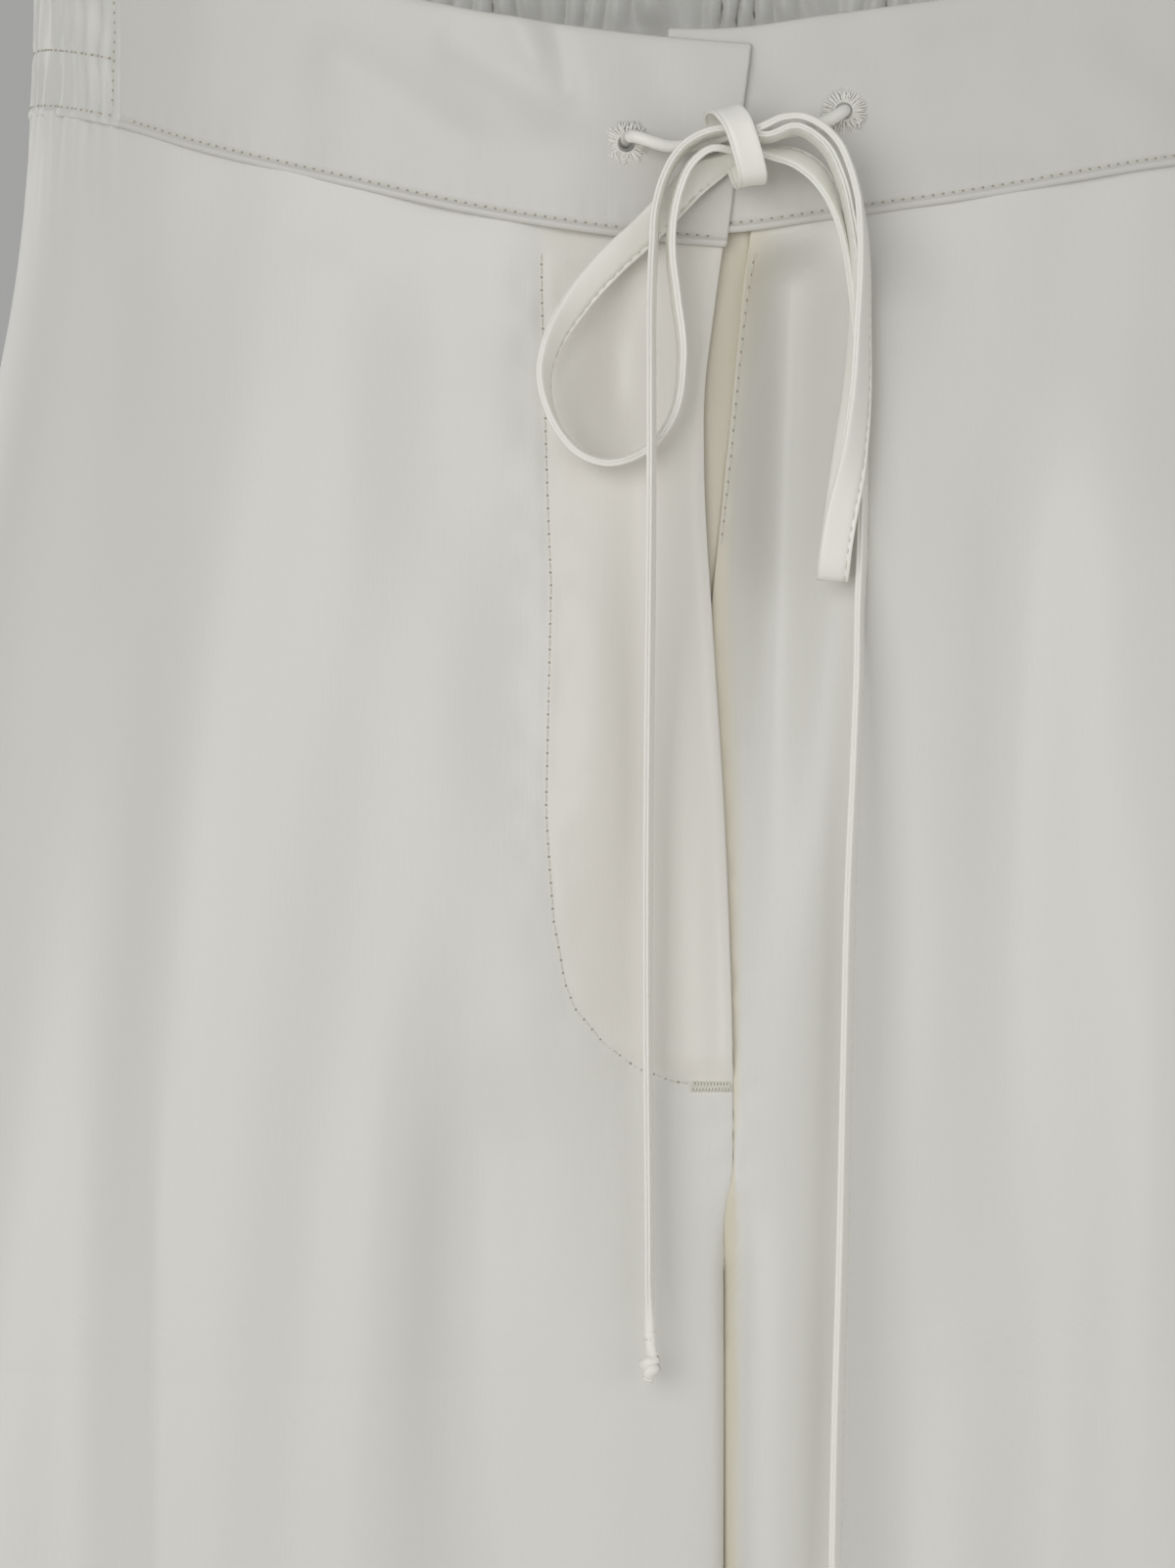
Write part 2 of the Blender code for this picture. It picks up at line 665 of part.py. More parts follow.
def add_cord(name, route, count, flat, material):
    """One stretch of the drawstring: a curve tube, drawn out flat where it isn't rolled up."""
    curve = bpy.data.curves.new(name, "CURVE")
    curve.dimensions = "3D"
    curve.twist_mode = "MINIMUM"
    curve.use_fill_caps = True
    curve.bevel_resolution = 2
    if flat:
        curve.bevel_depth = CORD_THICK / 2 * MM
        curve.extrude = (CORD_WIDTH - CORD_THICK) / 2 * MM
    else:
        curve.bevel_depth = LEAD_RADIUS * MM
    points = smooth_route(route, count)
    spline = curve.splines.new("POLY")
    spline.points.add(len(points) - 1)
    for point, (x, y, z, turn) in zip(spline.points, points):
        point.co = (x * MM, y * MM, z * MM, 1)
        point.tilt = math.radians(90 + turn)
    cord = bpy.data.objects.new(name, curve)
    garment.objects.link(cord)
    curve.materials.append(material)


def make_bow_knot(material):
    """The wrapped knot of the bow: a block with well rounded edges."""
    bpy.ops.mesh.primitive_cube_add(size=1)
    knot = bpy.context.object
    knot.name = "bow_knot"
    knot.data.transform(Matrix.Diagonal((*[size * MM for size in KNOT_SIZE], 1)))
    knot.location = Vector(KNOT_CENTRE) * MM
    for collection in knot.users_collection:
        collection.objects.unlink(knot)
    garment.objects.link(knot)
    knot.data.materials.append(material)
    rounding = knot.modifiers.new("rounding", "BEVEL")
    rounding.width = KNOT_ROUNDING * MM
    rounding.segments = 3


def make_end_knot(name, route, material):
    """The small knot at a free end, hanging just under the cord."""
    x, y, z, turn = route[-1]
    bpy.ops.mesh.primitive_uv_sphere_add(segments=END_KNOT_SIDES, ring_count=6, radius=0.5)
    knot = bpy.context.object
    knot.name = name
    knot.data.transform(Matrix.Diagonal((*[size * MM for size in END_KNOT_SIZE], 1)))
    knot.location = Vector((x, y, z - SEAM - END_KNOT_SIZE[2] / 2)) * MM
    for collection in knot.users_collection:
        collection.objects.unlink(knot)
    garment.objects.link(knot)
    knot.data.shade_smooth()
    knot.data.materials.append(material)


clear_scene()
garment = bpy.data.collections.new("drawstring_trousers")
cutters = bpy.data.collections.new("cutters")
bpy.context.scene.collection.children.link(garment)
bpy.context.scene.collection.children.link(cutters)

PANELS = (
    ("front_right", -1, -1, "d9d6cd"),
    ("front_left", 1, -1, "d7d4cb"),
    ("back_right", -1, 1, "d6d3ca"),
    ("back_left", 1, 1, "d4d1c8"),
)
for panel_name, panel_side, panel_facing, panel_colour in PANELS:
    panel_satin = make_material(panel_name + "_satin", panel_colour, 0.42)
    make_panel(panel_name, panel_side, panel_facing, panel_satin)
make_underlap(make_material("fly_underlap_satin", "c9c4b6", 0.45))

BANDS = (
    ("waistband_front_right", -1, EYELET_RIGHT, "eyelet_right"),
    ("waistband_front_left", 1, EYELET_LEFT, "eyelet_left"),
)
for band_name, band_side, eyelet_centre, eyelet_name in BANDS:
    band_satin = make_material(band_name + "_satin", "d8d6ce", 0.42)
    front_band = make_front_band(band_name, band_side, band_satin)
    cut_eyelet_hole(front_band, band_side, eyelet_centre)
    thread = make_material(eyelet_name + "_thread", "dcdad3", 0.55)
    make_eyelet(eyelet_name, band_side, eyelet_centre, thread)
make_elastic_band(make_material("waistband_back_satin", "d3d0c7", 0.45))

STRETCHES = (
    ("drawstring_lead_right", LEAD_RIGHT, 7, False),
    ("drawstring_lead_left", LEAD_LEFT, 7, False),
    ("bow_loop_right", LOOP_RIGHT, 30, True),
    ("bow_loop_left", LOOP_LEFT, 34, True),
    ("drawstring_end_right", END_RIGHT, 24, True),
    ("drawstring_end_left", END_LEFT, 26, True),
)
for cord_name, cord_route, cord_count, cord_flat in STRETCHES:
    cord_satin = make_material(cord_name + "_satin", "e2dfd6", 0.4)
    add_cord(cord_name, cord_route, cord_count, cord_flat, cord_satin)
make_bow_knot(make_material("bow_knot_satin", "e4e0d5", 0.4))
for knot_name, knot_route in (("end_knot_right", END_RIGHT), ("end_knot_left", END_LEFT)):
    make_end_knot(knot_name, knot_route, make_material(knot_name + "_satin", "e2dfd6", 0.4))
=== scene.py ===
# %% [markdown]
# # Drawstring trousers in ivory satin
# Wide-leg trousers, filled out as they are when someone wears them. The front has a flat
# waistband over a lapped fly, the back has an elastic one, and a flat drawstring comes out
# of two stitched eyelets and is tied in a bow. This script dresses the plain CAD solids:
# each one is replaced by finer cloth, and then the sewing is laid on top.

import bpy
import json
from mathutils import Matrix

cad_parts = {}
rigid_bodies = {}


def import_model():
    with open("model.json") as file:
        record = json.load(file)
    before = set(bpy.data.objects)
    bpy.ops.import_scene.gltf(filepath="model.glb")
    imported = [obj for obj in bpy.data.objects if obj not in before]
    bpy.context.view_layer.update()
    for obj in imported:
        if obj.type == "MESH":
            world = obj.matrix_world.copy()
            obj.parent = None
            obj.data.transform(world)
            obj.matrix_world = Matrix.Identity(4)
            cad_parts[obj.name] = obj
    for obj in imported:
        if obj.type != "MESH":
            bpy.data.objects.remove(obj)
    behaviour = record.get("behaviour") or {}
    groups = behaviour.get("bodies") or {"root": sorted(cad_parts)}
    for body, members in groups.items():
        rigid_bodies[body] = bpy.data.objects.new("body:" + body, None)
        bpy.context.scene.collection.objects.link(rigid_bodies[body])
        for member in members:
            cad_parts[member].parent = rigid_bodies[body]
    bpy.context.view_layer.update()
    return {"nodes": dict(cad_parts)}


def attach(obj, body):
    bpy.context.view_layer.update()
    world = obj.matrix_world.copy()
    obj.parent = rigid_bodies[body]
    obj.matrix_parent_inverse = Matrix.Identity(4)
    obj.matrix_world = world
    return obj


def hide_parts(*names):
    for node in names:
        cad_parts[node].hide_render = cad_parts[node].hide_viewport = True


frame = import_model()
print("CAD nodes:", len(frame["nodes"]))

# %% [markdown]
# Sizes are in millimetres until a mesh is made, because a maker thinks of cloth in
# millimetres. +Z is up, the front looks towards -Y, and the wearer's right leg is at -X.

# %% Imports and units
import json
import math

import bmesh
import bpy
import numpy as np
from mathutils import Vector

MM = 0.001
scene = bpy.context.scene

# %% [markdown]
# ## Camera, light and floor
# The picture looks straight at the front of the hips. The camera stands 1.25 m away, level
# and a little to the wearer's right, and its lens takes in 264 x 352 mm there.

# %% Camera
camera = bpy.data.objects.new("camera", bpy.data.cameras.new("camera"))
scene.collection.objects.link(camera)
camera.location = (-0.0325, -1.353, -0.1654)
camera.rotation_euler = (math.pi / 2, 0, 0)
camera.data.sensor_fit = "VERTICAL"
camera.data.sensor_height = 36
camera.data.lens = 127.9
scene.camera = camera
print("camera lens:", camera.data.lens)

# %% [markdown]
# Satin shows its folds as wide soft highlights, so the lamps are big: one from the left, a
# little above the waist, a weaker one from the right, and two behind for the other side of
# the garment. The world adds the light that a white studio throws back.

# %% Light
LAMPS = (
    # name, place, aim, size in metres, watts
    ("key", (-1.15, -2.3, 0.25), (0.0, 0.0, -0.25), 1.9, 25.0),
    ("fill", (1.6, -2.0, 0.0), (0.0, 0.0, -0.35), 1.8, 8.5),
    ("back_left", (1.6, 2.2, 0.7), (0.0, 0.0, -0.5), 1.8, 24.0),
    ("back_right", (-1.8, 2.0, 0.2), (0.0, 0.0, -0.5), 1.8, 10.0),
)


def add_lamp(name, place, aim, size, watts):
    lamp = bpy.data.lights.new(name, "AREA")
    lamp.energy = watts
    lamp.shape = "SQUARE"
    lamp.size = size
    holder = bpy.data.objects.new(name, lamp)
    holder.location = place
    holder.rotation_euler = (Vector(aim) - Vector(place)).to_track_quat("-Z", "Y").to_euler()
    scene.collection.objects.link(holder)


for lamp_row in LAMPS:
    add_lamp(*lamp_row)
scene.view_settings.view_transform = "Standard"
print("lamps:", len(LAMPS))

# %% [markdown]
# ## Colours and the node helper
# Colours are written as sRGB hex values, as in a paint program. Shaders want linear light,
# and one function turns the first into the second. Another adds a node with its settings
# and its links, and three short ones use it for the nodes that come back in each material.

# %% Colour and node helpers
def linear(hex_colour):
    """An sRGB hex colour as linear red, green, blue and 1."""
    out = []
    for i in (0, 2, 4):
        c = int(hex_colour[i : i + 2], 16) / 255
        out.append(c / 12.92 if c <= 0.04045 else ((c + 0.055) / 1.055) ** 2.4)
    return (*out, 1.0)


def add_node(tree, kind, settings=None, inputs=None):
    """Adds a node. An input is a plain value, or a link as (node, output name)."""
    node = tree.nodes.new(kind)
    for name, value in (settings or {}).items():
        setattr(node, name, value)
    for name, value in (inputs or {}).items():
        if isinstance(value, tuple) and isinstance(value[0], bpy.types.Node):
            tree.links.new(value[0].outputs[value[1]], node.inputs[name])
        else:
            node.inputs[name].default_value = value
    return node


def new_material(name):
    """A material, its node tree and its shader."""
    material = bpy.data.materials.new(name)
    material.use_nodes = True
    return material, material.node_tree, material.node_tree.nodes["Principled BSDF"]


def add_mapping(tree, across, down, turn=0.0):
    """The cloth's UV map. One unit of the pattern is so many millimetres across and down."""
    cloth = add_node(tree, "ShaderNodeUVMap", {"uv_map": "cloth"})
    inputs = {"Rotation": (0.0, 0.0, turn), "Scale": (1 / across, 1 / down, 1.0)}
    return add_node(tree, "ShaderNodeMapping", inputs={"Vector": (cloth, "UV"), **inputs})


def add_mix(tree, factor, first, second):
    """A colour mixer. first is a hex colour, or another mixer whose colour it takes."""
    node = add_node(tree, "ShaderNodeMix", {"data_type": "RGBA"}, {"Factor": factor})
    if isinstance(first, str):
        node.inputs[6].default_value = linear(first)
    else:
        tree.links.new(first.outputs[2], node.inputs[6])
    node.inputs[7].default_value = linear(second)
    return node


def finish_shader(tree, shader, tone, height, strength, distance, values):
    """Links the colour and a bump, and sets the shader's plain values."""
    bumps = {"Height": (height, "Fac"), "Strength": strength, "Distance": distance}
    relief = add_node(tree, "ShaderNodeBump", inputs=bumps)
    tree.links.new(tone.outputs[2], shader.inputs["Base Color"])
    tree.links.new(relief.outputs["Normal"], shader.inputs["Normal"])
    for name, value in values.items():
        shader.inputs[name].default_value = value


WORLD_STRENGTH = 0.39
world = bpy.data.worlds.new("studio")
world.use_nodes = True
background = world.node_tree.nodes["Background"]
background.inputs["Color"].default_value = linear("f7f7f6")
background.inputs["Strength"].default_value = WORLD_STRENGTH
scene.world = world
print("world:", world.name)

# %% [markdown]
# ## Satin
# The legs are a viscose satin: long warp threads float on its face, run down the leg and
# lie so close that the cloth has a soft sheen and no visible grid. Real threads are about
# 0.2 mm apart, too fine to show, so the bump draws uneven bundles of them 0.6 mm wide and
# 14 mm long. A second, wider noise lets the gloss and the tone wander as pressed cloth does.

# %% Satin
THREAD_BUNDLE = 0.6
BUNDLE_LENGTH = 14.0
BUNDLE_HEIGHT = 0.0002
DRIFT_ACROSS = 60.0
DRIFT_DOWN = 150.0
SATIN_SHEEN = {"Sheen Weight": 0.12, "Sheen Roughness": 0.4, "Sheen Tint": linear("fbf8f0")}


def add_noise(tree, mapping, detail):
    inputs = {"Vector": (mapping, "Vector"), "Scale": 1.0, "Detail": detail}
    return add_node(tree, "ShaderNodeTexNoise", inputs=inputs)


def make_satin(name, light, dark, roughness, bump, backed_and_shade=None):
    """Ivory satin. Its UV map is in millimetres, across the cloth and down it.

    The last colour goes where the layer mark is 1. On the right front a second layer lies
    behind there and less light comes through; on the left front it is painted shade.
    """
    material, tree, shader = new_material(name)
    streak = add_noise(tree, add_mapping(tree, THREAD_BUNDLE, BUNDLE_LENGTH), 2.0)
    drift = add_noise(tree, add_mapping(tree, DRIFT_ACROSS, DRIFT_DOWN), 3.0)
    tone = add_mix(tree, (drift, "Fac"), dark, light)
    if backed_and_shade:
        layers = add_node(tree, "ShaderNodeAttribute", {"attribute_name": "layers"})
        tone = add_mix(tree, (layers, "Fac"), tone, backed_and_shade)
    limits = {"From Min": 0.3, "From Max": 0.7, "To Min": roughness - 0.03, "To Max": roughness + 0.04}
    gloss = add_node(tree, "ShaderNodeMapRange", inputs={"Value": (drift, "Fac"), **limits})
    tree.links.new(gloss.outputs["Result"], shader.inputs["Roughness"])
    values = {"Metallic": 0.0, "IOR": 1.5, **SATIN_SHEEN}
    finish_shader(tree, shader, tone, streak, bump, BUNDLE_HEIGHT, values)
    return material


leg_satin = make_satin("woven_satin", "dddcd7", "dad9d3", 0.42, 0.2)
right_satin = make_satin("woven_satin_right_front", "dddcd7", "dad9d3", 0.42, 0.2, "e0ddd6")
# The left front's last colour is painted shade: warm shade beside the fly and in the gap between the
# legs.
left_satin_with_painted_shade = make_satin("left_front_satin_with_painted_shade", "dddcd7", "dad9d3", 0.42, 0.2, "d7d1bf")
fly_satin = make_satin("woven_satin_underlap", "d8d3c2", "d5cfbd", 0.44, 0.2)
band_satin = make_satin("interlined_satin", "d6d5d0", "d0cec8", 0.42, 0.16)
elastic_satin = make_satin("gathered_satin", "d8d8d4", "d3d2cd", 0.40, 0.16)
cord_satin = make_satin("folded_satin_strip", "f3f2ec", "f0eee6", 0.36, 0.15)
print("satins:", 7)

# %% [markdown]
# Sewing thread is spun polyester. It is rounder and matter than the satin floats, and it
# twists, which a fine wave along each stitch gives. The grooves between its plies are
# darkened by painted shade.

# %% Thread
THREAD_TWIST = 0.35
PLY_SLANT = 0.6
PLY_HEIGHT = 0.0001


def make_thread(name, colour, between, roughness):
    """A twisted thread: one colour on its plies, and a darker one, painted shade, between them."""
    material, tree, shader = new_material(name)
    turns = add_mapping(tree, THREAD_TWIST, THREAD_TWIST, PLY_SLANT)
    ply = add_node(tree, "ShaderNodeTexWave", inputs={"Vector": (turns, "Vector"), "Scale": 0.4})
    shade = add_mix(tree, (ply, "Fac"), between, colour)
    values = {"Roughness": roughness, "Sheen Weight": 0.2}
    finish_shader(tree, shader, shade, ply, 0.4, PLY_HEIGHT, values)
    return material


sewing_thread = make_thread("spun_polyester_thread", "e6e4da", "d2cfc2", 0.55)
eyelet_thread = make_thread("trilobal_embroidery_thread", "fbfaf6", "e6e4da", 0.38)
# The last is painted shade: dark pieces sunk in the needle holes between the stitches.
needle_hole = make_thread("painted_shade_in_needle_holes", "b6b1a4", "a5a092", 0.8)
print("threads:", sewing_thread.name, eyelet_thread.name, needle_hole.name)

# %% [markdown]
# ## The form of the filled trousers
# These tables give one leg and its half of the hips at each height: how far out the side
# seam is, where the section comes furthest forward, how deep the front and the back are,
# and how square the corners are. They are the CAD source's, with the front's corner between
# the legs squarer and the seams closed.

# %% Tables of the form
SEAM = 0.3
BAND_HEIGHT = 46.0
FLY_END = -233.0
CROTCH = -300.0
HEM = -1060.0
SIDE_SEAM_Y = -3.0
SEAM_CLOSED = 0.03
LEG_GAP_SLOPE = 0.005
# Where the crotch curve leaves the centre seam, and how round it is, in front and at the back
FORKS = {-1: (-250.0, 2.2), 1: (-170.0, 2.0)}
SECTIONS = {
    "height": (50, 0, -45, -100, -150, -200, -250, -300, -400, -600, -800, -1060),
    "side": (165, 166, 170, 181, 192, 201, 208, 214, 223, 230, 235, 238),
    "crease": (12, 14, 22, 42, 60, 78, 92, 103, 112, 117, 120, 121),
    "front": (96, 100, 103, 107, 109.5, 111, 111, 110, 106, 100, 97, 96),
    "back": (84, 88, 95, 110, 122, 128, 125, 117, 104, 90, 80, 74),
    "outer_square": (2.3, 2.3, 2.3, 2.32, 2.35, 2.4, 2.42, 2.45, 2.5, 2.5, 2.5, 2.5),
    "inner_square_front": (8, 8, 8, 8, 8, 8, 20, 32, 22, 9, 6, 4),
    "inner_square_back": (8, 8, 8, 8, 8, 8, 8, 8, 6.5, 5, 4.4, 4),
}
BAND_LINE = {
    "round": (-30, 0, 22, 55, 90, 125, 150, 180, 215, 300, 450),
    "right": (-46, -45, -43, -37.8, -29.5, -20.5, -13, -7.5, -5, -4, -3),
    "left": (-41, -41.5, -38.5, -33.6, -27, -20.5, -13, -7.5, -5, -4, -3),
}
BAND_LINE_LEVEL = -240.0
FLY_EDGE = {
    "height": (-233, -209, -170, -132, -95, -77, -62, -46, -38),
    "back_from_centre": (0.15, 0.7, 2.2, 4.6, 6.6, 6.4, 4.6, 2.4, 1.2),
}
UNDER_EDGE_TOP = (-41.5, 4.4)
UNDER_EDGE_LOW = (-126.0, -4.6)
print("section heights:", len(SECTIONS["height"]))


# %% [markdown]
# Four small functions shape everything that follows. The first draws a smooth curve through
# a table's rows, the second goes from 0 to 1 with no corner, the third is 1 at nought and
# fades on both sides, and the last is a wave with a length in millimetres.

# %% Reading tables
def smooth_read(table, name, at):
    """Reads a column of a table at any place along its first column."""
    places = np.array(next(iter(table.values())), float)
    values = np.array(table[name], float)
    order = np.argsort(places)
    places = places[order]
    values = values[order]
    slopes = np.gradient(values, places)
    at = np.clip(at, places[0], places[-1])
    i = np.clip(np.searchsorted(places, at, side="right") - 1, 0, len(places) - 2)
    gap = places[i + 1] - places[i]
    t = (at - places[i]) / gap
    near = (1 + 2 * t) * (1 - t) ** 2 * values[i] + t * (1 - t) ** 2 * gap * slopes[i]
    far = t * t * (3 - 2 * t) * values[i + 1] + t * t * (t - 1) * gap * slopes[i + 1]
    return near + far


def smooth_step(start, end, at):
    t = np.clip((at - start) / (end - start), 0.0, 1.0)
    return t * t * (3 - 2 * t)


def bell(distance, width):
    return np.exp(-((distance / width) ** 2))


def wave(at, length, phase=0.0):
    return np.sin(2 * math.pi * at / length + phase)


print("half way down the legs the side seam is at", smooth_read(SECTIONS, "side", -530.0))


# %% [markdown]
# One outline goes from the centre seam, or the inseam, round to the side seam. Above the
# crotch it is cut off at the centre plane, and how much is cut makes the curve of the
# crotch seam. Each outline is stored at even steps back from the side seam, one for every
# millimetre of height and more just above the crotch, so that any point of the cloth can be
# looked up quickly.

# %% Sections of the legs
ARC_STEPS = 480
TABLE_TOP = 60.0
BACK_STEP = 0.6
BACK_COUNT = 800
LEG_CORNER = 0.6
CURVE_ZONE = 9.0
CURVE_GROWS = (-296, -262)
FACE_ZONE = 48.0


def near_crotch(count):
    """Heights in the 5 mm above the crotch, closer together towards it."""
    return CROTCH + 5.0 * np.linspace(0, 1, count) ** 2


HEIGHTS = np.concatenate([np.arange(HEM, TABLE_TOP + 0.5, 1.0), near_crotch(24)])
HEIGHTS = np.unique(HEIGHTS)[::-1]


def half_section(height, facing):
    """One outline. facing is -1 for the front and 1 for the back."""
    face = "front" if facing < 0 else "back"
    columns = ("side", "crease", face, "outer_square", "inner_square_" + face)
    side, crease, stand, outer, inner = (smooth_read(SECTIONS, name, height) for name in columns)
    seam_x = SEAM_CLOSED + max(0.0, CROTCH - height) * LEG_GAP_SLOPE
    fork, power = FORKS[facing]
    down = min(max((fork - height) / (fork - CROTCH), 0.0), 1.0)
    left_over = (1 - down**power) ** (1 / power)
    share = max((1 - left_over**inner) ** (1 / inner), 0.05)
    start = math.acos(min(share ** (inner / 2), 1.0))
    reach = stand - facing * SIDE_SEAM_Y
    angle = np.linspace(start, math.pi / 2, ARC_STEPS)
    x_in = crease - (crease - seam_x) / share * np.abs(np.cos(angle)) ** (2 / inner)
    y_in = reach * np.sin(angle) ** (2 / inner)
    angle = np.linspace(math.pi / 2, 0, ARC_STEPS)[1:]
    x_out = crease + (side - crease) * np.abs(np.cos(angle)) ** (2 / outer)
    y_out = reach * np.abs(np.sin(angle)) ** (2 / outer)
    x = np.concatenate([x_in, x_out])
    y = SIDE_SEAM_Y + facing * np.concatenate([y_in, y_out])
    along = np.concatenate([[0], np.cumsum(np.hypot(np.diff(x), np.diff(y)))])
    return x, y, along


OUTLINES = {}
LENGTHS = {}
PLACES = {}
for way in (-1, 1):
    rows = []
    sizes = []
    zones = []
    for level in HEIGHTS:
        x, y, along = half_section(level, way)
        back = (along[-1] - along)[::-1]
        at = np.arange(BACK_COUNT) * BACK_STEP
        rows.append(np.stack([np.interp(at, back, x[::-1]), np.interp(at, back, y[::-1])], 1))
        sizes.append(along[-1])
        first = LEG_CORNER + (CURVE_ZONE - LEG_CORNER) * smooth_step(*CURVE_GROWS, level)
        widths = (first, FACE_ZONE)
        zones.append([along[-1] - np.interp(x[0] + width, x, along) for width in widths])
    PLACES[way] = np.array(zones)
    OUTLINES[way] = np.array(rows)
    LENGTHS[way] = np.array(sizes)
print("outlines stored:", len(HEIGHTS) * 2)


# %% Looking up the cloth
def section_length(height, facing):
    return np.interp(-np.asarray(height, float), -HEIGHTS, LENGTHS[facing])


def outline_point(facing, way_round, height):
    """x and y on the outline, a distance round from the centre seam."""
    rows = np.arange(len(HEIGHTS))
    down = np.clip(np.interp(-height, -HEIGHTS, rows), 0, len(HEIGHTS) - 1.001)
    row = down.astype(int)
    part = (down - row)[..., None]
    back = section_length(height, facing) - way_round
    across = np.clip(back / BACK_STEP, 0, BACK_COUNT - 1.001)
    col = across.astype(int)
    step = (across - col)[..., None]
    table = OUTLINES[facing]
    upper = table[row, col] * (1 - step) + table[row, col + 1] * step
    lower = table[row + 1, col] * (1 - step) + table[row + 1, col + 1] * step
    return upper * (1 - part) + lower * part


def band_line(side, way_round):
    """The height of the seam under the waistband."""
    return smooth_read(BAND_LINE, "right" if side < 0 else "left", way_round)


print("front seam to side seam at the hem:", round(float(section_length(HEM, -1))), "mm")

# %% [markdown]
# ## Folds
# The cloth hangs from the hips in long soft folds. Each row is one ridge (a depth above
# nought) or trough (below): x and depth at both ends, the two heights, the half width, and
# how far it takes to come and to go. The folds of the CAD source come first, a
# few of them deepened or shallower here. Finer ones, too shallow for the solids, follow:
# pressed creases, and drags towards the seams.

# %% Tables of folds
FRONT_FOLDS = (
    # x_top, x_low, top, low, width, depth_top, depth_low, fade_top, fade_low
    (14, 5, -41, -235, 9.5, -13, -9, 12, 150),
    (-25, -25, -48, -97, 8, -5.5, -5.5, 22, 22),
    (-31, -29, -105, -200, 11, 2.5, 2.5, 40, 40),
    (-53, -50, -140, -250, 13, 3, 3, 50, 30),
    (-64, -60, -40, -150, 16, -3.5, -3.5, 25, 60),
    (-58, -46, -190, HEM, 15, -5, -13, 80, 0),
    (-76, -86, -190, HEM, 14, 3.5, 9, 80, 0),
    (-114, -124, -90, HEM, 24, 3, 6, 90, 0),
    (-143, -164, -25, HEM, 16, -5, -13, 40, 0),
    (-190, -204, -330, HEM, 16, 2, 9, 200, 0),
    (-13, -18, -330, HEM, 12, 1, 7, 200, 0),
    (34, 38, -40, -150, 13, 4.5, 4.5, 20, 60),
    (37, 34, -150, HEM, 13, -4, -9, 60, 0),
    (11, 12, -245, HEM, 9, 2.5, 6, 60, 0),
    (62, 80, -70, HEM, 17, -4.5, -13, 50, 0),
    (92, 110, -60, HEM, 20, 4, 8, 60, 0),
    (150, 158, -40, HEM, 18, -4.5, -13, 60, 0),
    (184, 202, -330, HEM, 16, 2, 9, 200, 0),
)
BACK_FOLDS = (
    (-36, -40, -260, HEM, 17, 4, 9, 120, 0),
    (-78, -74, -215, HEM, 17, -5, -14, 140, 0),
    (-112, -116, -180, HEM, 22, 4.5, 8, 140, 0),
    (-156, -160, -120, HEM, 18, -5, -13, 120, 0),
    (-194, -204, -300, HEM, 16, 3, 8, 160, 0),
    (36, 36, -270, HEM, 16, -3.5, -11, 120, 0),
    (68, 72, -235, HEM, 17, 4, 8, 140, 0),
    (102, 108, -200, HEM, 18, -5, -14, 140, 0),
    (140, 150, -150, HEM, 20, 4.5, 9, 120, 0),
    (186, 194, -280, HEM, 16, -3, -9, 160, 0),
)
FINE_FRONT_FOLDS = (
    (-128, -131, -215, HEM, 2.6, 0.9, 1.3, 60, 0),
    (128, 131, -215, HEM, 2.6, 0.9, 1.3, 60, 0),
    (-46, -50, -44, -110, 5, -0.6, -0.3, 8, 50),
    (-92, -84, -38, -160, 9, 0.9, 0.4, 14, 80),
    (-20, -14, -52, -205, 6, 0.5, 0.5, 20, 50),
    (22, 17, -48, -190, 5, 0.7, 0.5, 16, 60),
    (52, 47, -60, -330, 8, 0.8, 0.6, 30, 120),
    (104, 118, -110, -600, 9, -0.8, -0.8, 60, 200),
    (-104, -98, -330, -900, 9, -0.9, -0.9, 90, 200),
)
FINE_BACK_FOLDS = (
    (-118, -121, -215, HEM, 3.4, 0.9, 1.3, 60, 0),
    (118, 121, -215, HEM, 3.4, 0.9, 1.3, 60, 0),
    (-14, -60, -262, -330, 9, 1.2, 0.8, 25, 30),
    (15, 66, -258, -330, 9, 1.1, 0.8, 25, 30),
    (-52, -47, -30, -190, 10, 0.9, 0.6, 40, 90),
    (88, 80, -40, -210, 11, 0.9, 0.6, 40, 90),
)
SHIFT_GROWS = (-249, -266)
SHIFT_FADES = (-430, -600)
SHIFT_DEPTH = (20, 60)
RIGHT_SHIFT = 2.0
RIGHT_REACH = (1.2, 14)
RIGHT_EDGE_SLOPE = 0.95
LEFT_SHIFT = 3.0
LEFT_REACH = (0.4, 2.8)
print("folds:", sum(map(len, (FRONT_FOLDS, BACK_FOLDS, FINE_FRONT_FOLDS, FINE_BACK_FOLDS))))


# %% Reading folds
def fold_depth(folds, x, height):
    """How far the folds of a table move the cloth out."""
    depth = np.zeros(np.broadcast(x, height).shape)
    for x_top, x_low, top, low, width, depth_top, depth_low, fade_top, fade_low in folds:
        down = np.clip((top - height) / (top - low), 0, 1)
        grow = smooth_step(top, top - fade_top, height)
        if fade_low > 0:
            grow = grow * smooth_step(low, low + fade_low, height)
        middle = x_top + (x_low - x_top) * down
        size = depth_top + (depth_low - depth_top) * down**1.5
        depth += size * grow * bell(x - middle, width)
    return depth


def unevenness(x, height, seed, size):
    """Seven slow waves, 28 to 75 mm across the cloth and 110 to 420 mm down it."""
    dice = np.random.RandomState(seed)
    total = 0.0
    for _ in range(7):
        across = 2 * math.pi / dice.uniform(28, 75)
        down = 2 * math.pi / dice.uniform(110, 420) * dice.choice([-1, 1])
        total = total + np.sin(across * x + down * height + dice.uniform(0, 6.28))
    return total * size / math.sqrt(7)


knee = fold_depth(FRONT_FOLDS, np.array(-50.0), np.array(-600.0))
print("a fold's depth at the knee:", round(float(knee), 1))


# %% [markdown]
# Every point of cloth is found in one way: go round the outline, step out by the folds
# where the cloth faces forward or back, and step out again by how proud the piece lies.

